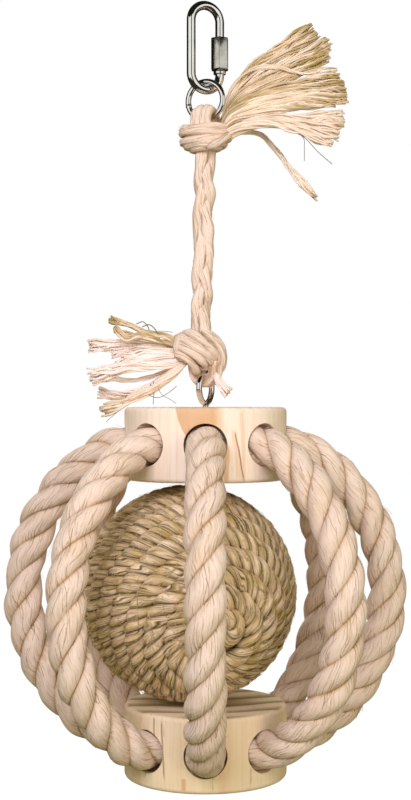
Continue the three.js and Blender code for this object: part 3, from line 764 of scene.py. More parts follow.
plait = {"strands": 3, "top": -0.07515, "bottom": -0.17165, "intoKnot": 0.0035, "sway": 0.0026,
         "cross": 0.0018, "period": 0.080, "phase": 0.9, "waver": 0.35, "waverRate": 130.0, "wide": 0.0060,
         "thick": 0.0041, "diameter": 0.011, "lean": -0.0022, "leanPower": 0.7, "tint": (0.4, 0.7),
         "pathPoints": 20, "seed": 60}


def makePlait(values):
    high, low = values["top"] + values["intoKnot"], values["bottom"] - values["intoKnot"]
    count = round((high - low) / softStrand["step"])
    level = np.linspace(high, low, count)
    skein = newSkein()
    cells = gridCells(values["strands"])

    def leanAt(z):
        # the plait bows a little towards the lower knot
        share = np.clip((values["top"] - z) / (values["top"] - values["bottom"]), 0, 1)
        return values["lean"] * share ** values["leanPower"]

    for k in range(values["strands"]):
        rng = np.random.default_rng(values["seed"] + k)
        turn = level * fullTurn / values["period"] + values["phase"] + k * fullTurn / values["strands"]
        turn = turn + values["waver"] * np.sin(level * values["waverRate"])
        points = np.stack([leanAt(level) + values["sway"] * np.sin(turn),
                           values["cross"] * np.sin(2 * turn), level], axis=1)
        facing = np.broadcast_to(np.array((0.0, -1.0, 0.0)), points.shape)
        tint = rng.uniform(*values["tint"])
        flatStrand(skein, points, facing, values["wide"], values["thick"], softStrand, rng, cells[k], tint)
    piece = knit("hanger_plait", skein, hangerFinish)
    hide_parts("plaited_rope")
    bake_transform(piece)
    print("hanger plaited")


makePlait(plait)


# lights, floor and background

studio = {
    "floorDrop": 0.22, "floorSize": 6.0, "floorTone": (0.28, 0.27, 0.13, 1.0), "floorRough": 0.9,
    "floorGlow": 1.10, "floorShare": 0.92,
    "ambient": 0.26, "ambientTone": (1.0, 0.97, 0.45, 1.0), "white": 1.0,
    # cards that only reflections see: middle, half sizes in the card's own two directions, colour
    "cards": [((0, 1.2, 0.3), (1.3, 0, 0), (0, 0, 1.0), (36, 35, 27)),
              ((-1.3, 0.42, 0.3), (0, 0.8, 0), (0, 0, 1.0), (30, 30, 23)),
              ((1.3, 0.42, 0.3), (0, 0.8, 0), (0, 0, 1.0), (74, 72, 60)),
              ((0, -0.2, 1.0), (2.0, 0, 0), (0, 2.0, 0), (30, 30, 21)),
              ((0, -0.2, -0.61), (2.0, 0, 0), (0, 1.8, 0), (50, 50, 39)),
              ((0.27, -1.7, 0.3), (0.33, 0, 0), (0, 0, 1.0), (30, 30, 23))],
    # name, place, size, power, tone; all point at the cage
    "lamps": [("key softbox", (-0.28, -1.05, 0.32), (0.9, 0.6), 12.9, (0.93, 0.92, 1.0)),
              ("front fill", (0.62, -1.05, -0.16), (0.6, 0.6), 5.2, (1.0, 0.96, 0.80)),
              ("back fill", (-0.42, 1.10, 0.30), (1.0, 0.8), 12.5, (1.0, 0.97, 0.90))],
    "aim": (0, 0, -0.28),
}


def litBy(tree):
    # 1 for the rays that see the background itself or its reflection
    rays = addNode(tree, "ShaderNodeLightPath")
    seen = arithmetic(tree, "MAXIMUM", rays.outputs["Is Camera Ray"], rays.outputs["Is Glossy Ray"])
    return arithmetic(tree, "MAXIMUM", seen, rays.outputs["Is Transmission Ray"])


def blendShaders(tree, share, one, other, output):
    mix = addNode(tree, "ShaderNodeMixShader")
    for socket, source in zip(mix.inputs, (share, one.outputs[0], other.outputs[0])):
        wire(tree, source, socket)
    wire(tree, mix.outputs[0], tree.nodes[output].inputs["Surface"])


def makeWorld(values):
    world = bpy.data.worlds.new("white studio")
    bpy.context.scene.world = world
    world.use_nodes = True
    tree = world.node_tree
    plain = tree.nodes["Background"]
    plain.inputs["Color"].default_value = values["ambientTone"]
    plain.inputs["Strength"].default_value = values["ambient"]
    white = addNode(tree, "ShaderNodeBackground", Color=(1, 1, 1, 1), Strength=values["white"])
    blendShaders(tree, litBy(tree), plain, white, "World Output")


def makeFloor(values):
    clearSelection()
    bpy.ops.mesh.primitive_plane_add(size=values["floorSize"],
                                     location=(0, 0, cadBox[0].z - values["floorDrop"]))
    floor = bpy.context.object
    floor.name = "floor"
    bpy.ops.object.transform_apply(location=True)
    material, tree, shader = newFinish("pale floor")
    shader.inputs["Base Color"].default_value = values["floorTone"]
    shader.inputs["Roughness"].default_value = values["floorRough"]
    glow = addNode(tree, "ShaderNodeEmission", Color=(1, 1, 1, 1), Strength=values["floorGlow"])
    blendShaders(tree, times(tree, litBy(tree), values["floorShare"]), shader, glow, "Material Output")
    floor.data.materials.append(material)


def makeCard(i, middle, across, up, tone):
    finish, _, shader = newFinish(f"reflection card {i + 1}")
    shader.inputs["Base Color"].default_value = (0, 0, 0, 1)
    shader.inputs["Specular IOR Level"].default_value = 0.0
    shader.inputs["Emission Color"].default_value = paint(*tone)
    shader.inputs["Emission Strength"].default_value = 1.0
    clearSelection()
    bpy.ops.mesh.primitive_plane_add(size=2)
    card = bpy.context.object
    card.name = f"dark_card_{i + 1}"
    for vertex in card.data.vertices:
        vertex.co = Vector(middle) + Vector(across) * vertex.co.x + Vector(up) * vertex.co.y
    card.data.materials.append(finish)
    card.visible_camera = card.visible_diffuse = card.visible_shadow = False
    card.visible_transmission = card.visible_volume_scatter = False


def addLamp(name, location, size, power, tone, target):
    clearSelection()
    bpy.ops.object.light_add(type="AREA", location=location)
    lamp = bpy.context.object
    lamp.name = name
    lamp.data.shape = "RECTANGLE"
    lamp.data.size, lamp.data.size_y = size
    lamp.data.energy = power
    lamp.data.color = tone
    lamp.visible_glossy = False
    aim = Vector(target) - Vector(location)
    lamp.rotation_euler = aim.to_track_quat("-Z", "Y").to_euler()


def makeStudio(values):
    makeWorld(values)
    makeFloor(values)
    for i, card in enumerate(values["cards"]):
        makeCard(i, *card)
    for lamp in values["lamps"]:
        addLamp(*lamp, values["aim"])
    bpy.context.scene.view_settings.view_transform = "Standard"


makeStudio(studio)
print("studio lit")


# ball: one length of twine wound from pole to pole over a core

twineFinish = fibreFinish(
    "ball sisal twine",
    {"pale": (255, 228, 202), "shade": (204, 171, 108), "blush": (243, 210, 172), "dark": (126, 101, 44),
     "light": (254, 236, 210), "line": (106, 82, 34), "creaseShadeAndHair": (84, 66, 26)},
    {"valleyWidth": 0.36, "across": 1.8, "along": 100.0, "blotch": 55.0, "streak": 0.75, "hair": 0.6,
     "creasePower": 6.0, "valley": 1.0, "valleyEdge": 0.0, "groove": 1.0, "bump": 0.9, "bumpDepth": 0.0005,
     "sheen": 0.05, "edgeShade": 0.3})

ballTwine = {
    **laidRope, "strands": 3, "radius": 0.0045, "layLength": 0.0168, "lobeShift": 0.26, "columns": 11,
    "yarns": 11, "yarnLean": 0.12, "yarnDepth": 0.00012, "creaseDepth": 0.0004, "uneven": 0.08,
    "loose": 0.16, "stray": 0.6, "toneDepth": 0.34, "toneLength": 0.011, "widen": 1.38, "step": 0.0013,
    "tighten": -0.28, "endReach": 0.60, "endThin": 0.05, "strips": 16, "seed": 7,
    "laidRadius": 0.0523, "centre": (-0.009, 0.0, -0.30585), "pole": (0.32, -0.89, -0.31),
    "loops": 14, "loopPoints": 90, "poleCurl": 0.0050, "tuckBend": 0.0042, "twine": 0.0092,
    "hairs": 1100, "hairLength": (0.006, 0.016), "hairWidth": 0.00018, "hairSeat": 0.93, "hairLift": 0.0007,
}


def windingLine(ball):
    # the twine's middle in the ball's own frame, its pole along +Z
    laid = ball["laidRadius"]

    def onBall(x, y, depth):
        away = math.hypot(x, y) / laid
        heading = math.atan2(y, x)
        out = laid - depth
        return (out * math.sin(away) * math.cos(heading), out * math.sin(away) * math.sin(heading),
                out * math.cos(away))

    tuck, curl = ball["tuckBend"], ball["poleCurl"]
    half = [onBall(-tuck, 0, tuck + ball["twine"] * (1 - t)) for t in np.linspace(0, 1, 6)]
    for angle in np.linspace(math.pi / 2, 0, 12)[1:]:
        half.append(onBall(-tuck * math.sin(angle), 0, tuck * (1 - math.cos(angle))))
    for angle in np.linspace(0, math.pi, 24)[1:]:
        half.append(onBall(curl * math.sin(angle), curl * (1 - math.cos(angle)), 0))
    loops = ball["loops"] / 2
    for t in np.linspace(0, 1, int(loops * ball["loopPoints"]))[1:]:
        heading = math.pi / 2 + t * loops * fullTurn
        away = 2 * curl + (laid * math.pi / 2 - 2 * curl) * t
        half.append(onBall(away * math.cos(heading), away * math.sin(heading), 0))
    turn = Matrix.Rotation(math.pi, 3, Vector(half[-1]))
    rest = [tuple(turn @ Vector(p)) for p in reversed(half[:-1])]
    return np.array(half + rest)


def strayHairs(name, line, ball, material, body, rng):
    # short loose fibres that lie over the turns of twine
    skein = newSkein()
    tangents = unit(np.gradient(line, axis=0))
    centre = np.array(ball["centre"])
    s = np.linspace(-0.5, 0.5, 7)[:, None]
    for cell in gridCells(ball["hairs"]):
        i = rng.integers(2, len(line) - 2)
        out = unit(line[i] - centre)
        over = tangents[i] * rng.normal(0, 1) + np.cross(out, tangents[i]) * rng.normal(0, 1)
        over = unit(over - out * (over @ out))
        length = rng.uniform(*ball["hairLength"])
        curl = np.cross(out, over) * length * rng.uniform(-0.25, 0.25)
        reach = unit(line[i] - centre + over * (length * s) + curl * (2 * s) ** 2)
        lift = ball["hairLift"] * rng.uniform(0, 1) * (2 * s) ** 4
        lift = ball["laidRadius"] + ball["radius"] * ball["hairSeat"] + lift
        width = ball["hairWidth"] * rng.uniform(0.7, 1.4)
        addYarn(skein, centre + reach * lift, width, 3, rng.uniform(0, 1), cell)
    takePart(knit(name, skein, material), body, [])


def makeBall(ball):
    rng = np.random.default_rng(ball["seed"])
    line = windingLine(ball)
    line = evenly(line, round(lengthsAlong(line)[-1] / ball["step"]))
    along = lengthsAlong(line)
    pole = Vector((0, 0, 1)).rotation_difference(Vector(ball["pole"]))
    turned = line @ np.array(pole.to_matrix()).T
    wound = turned + np.array(ball["centre"])
    skein = newSkein()
    fromEnd = np.minimum(along, along[-1] - along)
    thin = 1 - ball["endThin"] * np.exp(-(fromEnd / ball["endReach"]) ** 2)
    layRope(skein, wound, turned, ball, rng, thin, wholeMap, ball["strips"])
    piece = knit("ball_twine", skein, twineFinish)
    takePart(piece, "ball", ["ball_winding"])
    strayHairs("ball_fibres", wound, ball, twineFinish, "ball", rng)
    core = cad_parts["ball_core"]
    core.data.materials.clear()
    core.data.materials.append(twineFinish)
    print("ball wound with", round(along[-1], 2), "m of twine")


makeBall(ballTwine)


# hanger knots and loops: soft strands through chosen points, in millimetres from each knot's origin

def runStrand(skein, corners, origin, wide, thick, middle, rng, cell, tint, taper=0.004):
    # one strand through the corners, its flat side turned away from a middle point
    route = placed(corners, origin)
    count = max(softStrand["leastSteps"], round(lengthsAlong(route)[-1] / softStrand["step"]))
    points = smoothRoute(route, count)
    along = lengthsAlong(points)
    fromEnd = np.minimum(along, along[-1] - along)
    full = np.clip(fromEnd / taper, 0, 1) ** softStrand["tipPower"]
    narrow = softStrand["tip"] + (1 - softStrand["tip"]) * full
    facing = points - placed(middle, origin)
    wide, thick = wide / 1000 * narrow, thick / 1000 * narrow
    flatStrand(skein, points, facing, wide, thick, softStrand, rng, cell, tint)


def wrapRound(level, reach, depth, tilt, rise, start=75, end=470, count=30):
    # an oval turn round a knot, its ends tucked inside; tilt lifts its right side
    angle = np.radians(np.linspace(start, end, count))
    tuck = 1 - 0.45 * np.clip(np.abs(np.linspace(-1, 1, count)) * 5 - 4, 0, 1)
    x = reach * np.cos(angle) * tuck
    y = depth * np.sin(angle) * tuck
    z = level + tilt * np.cos(angle) + np.linspace(-rise / 2, rise / 2, count)
    return np.stack([x, y, z], axis=1)


topKnot = {
    "origin": (0.0, 0.0, -0.06035), "middle": (0, 0, -7.2),
    # level, reach, depth, tilt, rise, wide, thick
    "wraps": [(-2.8, 10.6, 7.2, 0.3, 0.6, 4.2, 6.0), (-5.0, 11.3, 7.6, 0.0, -0.5, 4.0, 5.8),
              (-8.2, 10.6, 7.4, 0.7, 0.5, 4.2, 6.0), (-10.3, 8.8, 6.8, 0.6, -0.4, 4.4, 6.0),
              (-11.8, 6.2, 5.6, 0.4, 0.3, 4.4, 5.6)],
    "crossing": [(1.0, -9.0, -13.4), (5.5, -10.0, -11.4), (10.0, -8.6, -8.4), (13.2, -4.0, -5.2),
                 (12.5, 2.0, -4.0)],
    "crossingSize": (3.8, 3.6), "crossingTint": 0.4, "tint": (0.35, 0.65),
    "core": [(0, 0, -1), (0, 0, -5), (0, 0, -10), (0, 0, -14.2)], "coreSize": (17, 12),
    "coreMiddle": (0, 60, -7), "coreTint": 0.35, "coreTaper": 0.006,
}

lowerKnot = {
    "origin": (0.0, 0.0, -0.17195), "middle": (-5, 0, -8),
    # corners, wide, thick
    "strands": [
        ([(-11.5, -2.0, 2.8), (-8.0, -6.4, 1.6), (-2.4, -9.2, -1.8), (2.6, -8.8, -6.4), (4.8, -6.0, -10.0),
          (4, -2, -12)], 4.6, 4.2),
        ([(-14.0, -2.5, 0.6), (-10.2, -7.8, -1.8), (-4.6, -10.2, -5.2), (0.4, -9.4, -9.2), (2.6, -6.5, -11.8),
          (2, -2, -13)], 4.8, 4.2),
        ([(-15.4, -3.0, -3.4), (-11.8, -8.4, -5.4), (-6.8, -10.2, -8.4), (-2.6, -8.8, -11.6),
          (-0.6, -5.6, -13.6), (-1, -1, -15)], 4.6, 4.2),
        ([(-16.0, -2.0, -8.2), (-12.8, -7.4, -9.4), (-9.0, -9.0, -11.8), (-6.4, -7.6, -14.8),
          (-4.6, -4.4, -17.6), (-4, -1, -19)], 4.4, 4.2),
        ([(-12.0, -5.0, 1.6), (-14.4, -6.2, -2.4), (-14.8, -6.4, -6.6), (-13.4, -5.0, -10.8)], 4.6, 3.4),
        ([(-12.4, 2.0, 2.6), (-16.0, 4.4, -1.0), (-17.0, 5.0, -5.6), (-16.0, 4.2, -10.4),
          (-13.0, 1.0, -12.6)], 3.6, 3.4),
        ([(-2.0, -4.5, 3.0), (3.0, -7.0, -1.2), (7.0, -7.0, -5.6), (8.6, -6.6, -11.5), (6.6, -7.0, -17.0),
          (6.2, -8.6, -21.5)], 3.6, 4.4),
        ([(-1.0, -3.0, 3.0), (4.4, -4.6, -0.8), (8.6, -4.4, -6.0), (9.0, -4.0, -12.0), (6.4, -3.6, -17.5),
          (4.5, -3, -20)], 3.6, 4.4),
        ([(-7.0, 1.0, -13.0), (-3.0, -1.5, -15.0), (2.0, -1.5, -15.2), (6.5, 1.0, -13.4)], 4.6, 4.2),
        ([(2.0, 2.0, 1.0), (6.5, 0.0, -2.5), (8.6, 0.5, -8.0), (7.0, 2.0, -13.5), (2, 2, -15)], 4.6, 5.0),
        ([(-16.0, 4.0, -2.0), (-9.0, 9.0, -3.0), (-1.0, 9.6, -5.5), (5.0, 6.5, -9.5), (6, 1, -12)], 4.8, 5.0),
        ([(-16.5, 3.5, -8.0), (-9.5, 9.0, -8.0), (-2.5, 9.2, -11.0), (3.0, 5.5, -14.0), (3, 0, -15)],
         4.8, 5.0),
        ([(-10.0, 0.0, 1.0), (-4.5, 4.5, 1.4), (0.5, 7.5, -1.2), (4.5, 7.0, -6.0), (5, 3, -10)], 4.6, 4.6)],
    "tint": (0.35, 0.7),
    "core": [(-16, 0, -6.5), (-10, 0, -7), (-3, 0, -8), (6, 0, -9)], "coreSize": (14, 16.5),
    "coreMiddle": (-5, 60, -8), "coreTint": 0.35, "coreTaper": 0.006,
}

# strands bent over the ring and through the eye, square to the ring's or eye's wire; the shape is in bends
loopShape = {"footOut": 1.12, "legOut": 1.04, "legLift": 0.45, "legFan": 1.2, "tint": (0.35, 0.7)}
upperLoop = {**loopShape, "wireTop": -0.05745, "bend": 5.2, "turn": -24.0, "strands": (-3.3, -1.1, 1.1, 3.2),
             "fan": 1.6, "foot": -8.5, "wide": 3.9, "thick": 6.0, "over": 1, "crown": 0.45}
lowerLoop = {**loopShape, "wireTop": -0.18965, "bend": 5.3, "turn": 67.0, "strands": (-1.9, 1.9),
             "fan": 1.3, "foot": 8.0, "wide": 4.2, "thick": 6.4, "over": -1, "crown": 0.0}


def makeLoop(name, loop, body, node, seed):
    # legs and a half turn, over the wire or under it
    rng = np.random.default_rng(seed)
    turn, bend = math.radians(loop["turn"]), loop["bend"]
    alongWire = np.array((math.cos(turn), math.sin(turn), 0.0))
    acrossWire = np.array((-math.sin(turn), math.cos(turn), 0.0))
    skein = newSkein()
    cells = gridCells(len(loop["strands"]))
    for cell, place in zip(cells, loop["strands"]):
        rise = loop["over"] * (bend - loop["crown"] * abs(place))
        corners = []
        for side in (-1, 1):
            half = [(side * bend * loop["footOut"], loop["foot"], loop["fan"]),
                    (side * bend * loop["legOut"], loop["foot"] * loop["legLift"], loop["legFan"])]
            half += [(side * bend * math.cos(a), rise * math.sin(a), 1.0) for a in np.radians((0, 30, 60))]
            corners += half if side == -1 else [(0.0, rise, 1.0)] + half[::-1]
        route = [alongWire * place * spread + acrossWire * out + np.array((0, 0, lift))
                 for out, lift, spread in corners]
        runStrand(skein, route, (0, 0, loop["wireTop"]), loop["wide"], loop["thick"], (0, 0, 0), rng, cell,
                  rng.uniform(*loop["tint"]))
    takePart(knit(name, skein, hangerFinish), body, [node])


def tieKnot(name, knot, strands, body, node, rng):
    # a strand is its corners, width, thickness and perhaps its tint; the core is run last
    skein = newSkein()
    cells = gridCells(len(strands) + 1)
    for cell, (corners, wide, thick, *tint) in zip(cells, strands):
        runStrand(skein, corners, knot["origin"], wide, thick, knot["middle"], rng, cell,
                  tint[0] if tint else rng.uniform(*knot["tint"]))
    runStrand(skein, knot["core"], knot["origin"], *knot["coreSize"], knot["coreMiddle"], rng, cells[-1],
              knot["coreTint"], knot["coreTaper"])
    takePart(knit(name, skein, hangerFinish), body, [node])


def makeKnots():
    rng = np.random.default_rng(81)
    wraps = [(wrapRound(*turn), wide, thick) for *turn, wide, thick in topKnot["wraps"]]
    crossing = (topKnot["crossing"], *topKnot["crossingSize"], topKnot["crossingTint"])
    tieKnot("top_knot_wraps", topKnot, wraps + [crossing], "hanger", "top_knot", rng)
    tieKnot("lower_knot_wraps", lowerKnot, lowerKnot["strands"], "lower_hanger", "lower_knot", rng)
    print("knots tied")


makeLoop("upper_loop_strands", upperLoop, "hanger", "upper_rope_loop", 82)
makeLoop("lower_loop_strands", lowerLoop, "lower_hanger", "lower_rope_loop", 83)
makeKnots()


# tassels: bundles of loose yarns that open out from the knots to cut ends

looseFibre = {"valleyWidth": 0.1, "across": 2.0, "along": 60.0, "blotch": 45.0, "streak": 0.3, "hair": 0.35,
              "creasePower": 1.0, "valley": 0.0, "valleyEdge": 0.0, "groove": 0.0, "bump": 0.3,
              "bumpDepth": 0.0002, "sheen": 0.1, "edgeShade": 0.0}
# the same cotton three ways: the first paints olive shade in its low tones, for the shade among the yarns and
# behind the bundles; the pale and pink ones are lighter copies, painted light against the shade the yarns
# cast on each other, and the pink one also has the lower tassel's pinker tone
shadedYarnFinish = fibreFinish(
    "tassel loose yarns, painted shade",
    {"pale": (249, 229, 216), "shade": (174, 146, 88), "blush": (236, 209, 182), "dark": (160, 130, 76),
     "light": (248, 232, 222), "line": (140, 106, 62), "creaseShadeAndHair": (140, 106, 62)}, looseFibre)
litPaleYarnFinish = fibreFinish(
    "tassel pale yarns, painted light",
    {"pale": (248, 229, 218), "shade": (206, 176, 140), "blush": (244, 222, 208), "dark": (208, 178, 146),
     "light": (250, 235, 226), "line": (170, 134, 96), "creaseShadeAndHair": (170, 134, 96)}, looseFibre)
litPinkYarnFinish = fibreFinish(
    "tassel pink yarns, painted light",
    {"pale": (253, 237, 235), "shade": (236, 210, 198), "blush": (252, 231, 227), "dark": (226, 197, 180),
     "light": (254, 242, 240), "line": (190, 154, 126), "creaseShadeAndHair": (190, 154, 126)}, looseFibre)
hairFinish = fibreFinish(
    "loose dark hairs",
    {"pale": (150, 140, 124), "shade": (108, 98, 82), "blush": (132, 120, 100), "dark": (90, 80, 62),
     "light": (176, 166, 150), "line": (80, 70, 52), "creaseShadeAndHair": (80, 70, 52)},
    {**looseFibre, "blotch": 60.0, "hair": 0.3, "bump": 0.2, "bumpDepth": 0.0001, "sheen": 0.0})

yarn = {
    "width": 0.0011, "share": 0.7, "steps": 22, "sides": 5, "wave": 0.0011, "waveLength": (0.012, 0.030),
    "slack": 0.35, "flare": 0.25, "tipShade": 0.7, "toneVary": 0.24, "shorten": 0.035,
    # a lock's plies still wind round each other, less towards the tip
    "plyTurn": 130.0, "unwind": 0.35, "plyTone": 0.3, "plyOut": 0.55, "plyDeep": 0.45,
    # the yarns of a ply lie like the seeds of a flower head, and wander as they go
    "goldenAngle": 2.39996, "spread": 0.55, "flatten": 0.8, "reachVary": 0.22, "turnVary": 0.25,
    "turnTip": 0.5,
    # the end of the lowest bundle is pushed aside by the disc: from here to here, in millimetres
    "lift": {"lower_tassel_tip": ((-12, -4, -14), (-34, -7, -30))},
    "finish": {**dict.fromkeys(("top_tassel_lower", "top_tassel_strand", "lower_tassel_tip"), litPaleYarnFinish),
               **dict.fromkeys(("lower_tassel_back", "lower_tassel_middle", "lower_tassel_low", "loop_tail"),
                               litPinkYarnFinish)},
}

# locks of each tail, in millimetres from the knot's origin: route, root width, tip width, yarns, tone
# a low tone is painted shade: the wide lock at the back of each top-tassel bundle has the lowest, as the
# shaded depth behind it
topTails = {
    "top_tassel_upper": [
        ([(9, 6, -4), (11, 8.5, 8), (15, 8.5, 18), (23, 7.5, 30), (38, 6, 41.5),
          (57, 7, 54)], 3.5, 4, 24, 0.40),
        ([(9, 6, -4), (11.5, 8.5, 7), (16.5, 8.5, 17), (26, 6, 28), (42, 6, 38.5),
          (60, 7, 50)], 4.5, 4.5, 32, 0.55),
        ([(9, 6, -4), (11.5, 8, 6), (17, 8, 16), (29, 6, 25), (46, 6, 35), (67, 7, 46.5)], 5, 4.5, 36, 0.60),
        ([(9, 5, -4), (12, 7, 5), (18, 7, 14), (31, 5, 22), (48, 5, 31), (66, 6, 42)], 5, 4.5, 36, 0.45),
        ([(9, 5, -4), (12.5, 6.5, 4), (19, 6.5, 12), (32, 5, 19), (49, 5, 28),
          (65.5, 6, 38)], 5, 4.5, 32, 0.35),
        ([(9, 7, -5), (12, 9, 5), (19, 10, 15), (31, 10, 23), (46, 10, 30.5), (60, 10, 40)], 6, 7, 40, 0.05),
        ([(9, 6, 0), (11, 7.5, 11), (15.5, 7, 23), (25, 5, 30.5), (36, 3, 31), (50, 3, 28),
          (70, 4, 31)], 1.6, 3, 8, 0.95)],
    "top_tassel_middle": [
        ([(10, 0, -4), (12.5, -1, 4), (20, -2, 10.5), (33, -2, 17), (51, -3, 21.5),
          (70.5, -4, 24.5)], 5, 4.5, 34, 0.50),
        ([(10, 0, -4), (13, -1, 3), (21, -2, 8.5), (34, -3, 14), (52, -4, 18.5),
          (73, -5, 20.5)], 5, 4.5, 36, 0.62),
        ([(10, -1, -4), (13.5, -2, 2), (22, -3, 7), (35, -4, 11.5), (53, -5, 15.5),
          (74, -6, 16.5)], 5, 4.5, 36, 0.72),
        ([(10, -1, -4.5), (14, -3, 1), (23, -4, 5.5), (36, -5, 9), (54, -6, 12.5),
          (74.5, -7, 12.5)], 5, 4.5, 36, 0.55),
        ([(10, -2, -5), (14, -4, 0.5), (23, -5, 4), (36, -6, 6.5), (53, -7, 9),
          (68, -8, 10)], 5, 4, 32, 0.80),
        ([(10, 3, -4), (13, 4, 3), (22, 4, 9), (35, 4, 14), (51, 4, 17.5), (66, 3, 18)], 6, 8, 38, 0.08)],
    "top_tassel_lower": [
        ([(10, -4, -6), (19, -7, -0.5), (33, -9, 2.5), (52, -11, 3), (72, -12, 4)], 2.4, 2.4, 12, 0.55),
        ([(10, -4, -7), (19, -7, -1.5), (33, -10, 1), (52, -12, -0.5), (72, -13, -2)], 4.5, 4, 28, 0.6),
        ([(10, -5, -7), (19, -8, -2.5), (33, -11, -0.5), (51, -13, -4), (69.5, -14, -7.5)], 4.5, 4, 28, 0.35),
        ([(10, -5, -8), (19, -8, -3.5), (33, -11, -1.5), (50, -13, -6), (66, -14, -12.5)], 4.5, 4, 28, 0.65),
        ([(10, -2, -6), (19, -4, -1), (33, -7, 0.5), (50, -9, -3), (66, -10, -6)], 5, 7, 22, 0.0)],
    "top_tassel_strand": [
        ([(9, 5, -6), (19, 8, -2.5), (28, 10, -2.8), (35.5, 11, -9.5), (43, 12, -18.5), (50.5, 13, -27.5),
          (57.5, 13, -36.5)], 1.5, 2.2, 11, 0.95),
        ([(9, 5, -6), (19, 8, -2.5), (30, 10, -3), (37.5, 11, -10.5), (45, 12, -20), (52.5, 13, -29),
          (60.5, 13, -38)], 1.4, 2.2, 10, 0.9)],
}
lowerTails = {
    "lower_tassel_upper": [
        ([(-13, -2, -5), (-20.5, -4, 0.5), (-30, -5, 2), (-37.5, -5, 5.5), (-45, -5, 8),
          (-50.5, -5, 9.6)], 2.4, 3, 18, 0.15),
        ([(-13, -2, -5), (-21, -4, -3), (-35, -6, 0.5), (-42, -6, -0.8), (-45, -6, 2.2),
          (-47, -5, 6)], 1.8, 2.2, 12, 0.3),
        ([(-13, -2, -5), (-22, -3, -3), (-33, -4, -0.5), (-41, -4, 2), (-48, -4, 2.5)], 1.6, 2.0, 8, 0.4)],
    "lower_tassel_back": [
        ([(-12, 2, -6), (-19.4, 1, -3.4), (-30, 2, -2.8), (-41.4, 3, -3.0), (-53, 4, -3.8),
          (-62, 4, -4.4)], 3, 5.5, 34, 1.0),
        ([(-12, 2, -7), (-20, 1, -5.2), (-30, 1, -4.8), (-42, 2, -6.5), (-50, 3, -9.5)], 2.4, 2.4, 14, 0.75),
        ([(-12, 3, -7), (-20, 3, -5.5), (-30, 4, -5), (-41, 5, -5), (-55, 5, -6)], 3, 5, 20, 0.55)],
    "lower_tassel_middle": [
        ([(-12, -2, -8), (-19, -4, -7.4), (-28, -5, -7.2), (-36, -6, -8.6), (-44, -6, -11)], 3, 3, 22, 0.45),
        ([(-12, -3, -11), (-18.2, -5, -13.8), (-29.8, -6, -15.2), (-41.4, -7, -15.8), (-53, -8, -18.4),
          (-61, -8, -20.8)], 3.4, 5.5, 36, 1.0),
        ([(-12, -3, -11), (-19, -5, -13.5), (-30, -6, -16.5), (-42, -7, -18), (-52, -7, -21.5),
          (-60, -7, -23.5)], 2, 2.4, 12, 0.8),
        ([(-12, -3, -9), (-20, -5, -10.5), (-30, -6, -12), (-40, -7, -13),
          (-47, -7, -15.5)], 2.8, 3, 18, 0.85)],
    "lower_tassel_low": [
        ([(-12, 1, -12), (-19, 1, -18.5), (-26.4, 2, -24.6), (-35.6, 3, -28.4), (-44.9, 4, -30.2),
          (-57, 5, -28)], 3, 4, 28, 0.95),
        ([(-12, 2, -12), (-20, 3, -16.5), (-30, 4, -21), (-40, 5, -22.5), (-50, 6, -21),
          (-57, 6, -22)], 2, 2, 12, 0.60)],
    "lower_tassel_tip": [
        ([(-10, -4, -12.5), (-17, -6, -19.5), (-26.4, -7, -26.4), (-35.6, -7, -31), (-45, -7, -35.6),
          (-55, -7, -38.6)], 3, 4.5, 34, 0.8),
        ([(-10, -3, -12.5), (-17, -4, -18.5), (-26, -5, -25), (-35, -5, -29.5), (-44, -5, -34),
          (-51, -5, -37)], 3, 4, 22, 0.45)],
    "loop_tail": [
        ([(5.6, -7.5, -19.5), (6.4, -9.2, -22.5), (8.8, -11, -25.8),
          (12.4, -12, -28.8)], 3.2, 5.2, 44, 0.75)],
}


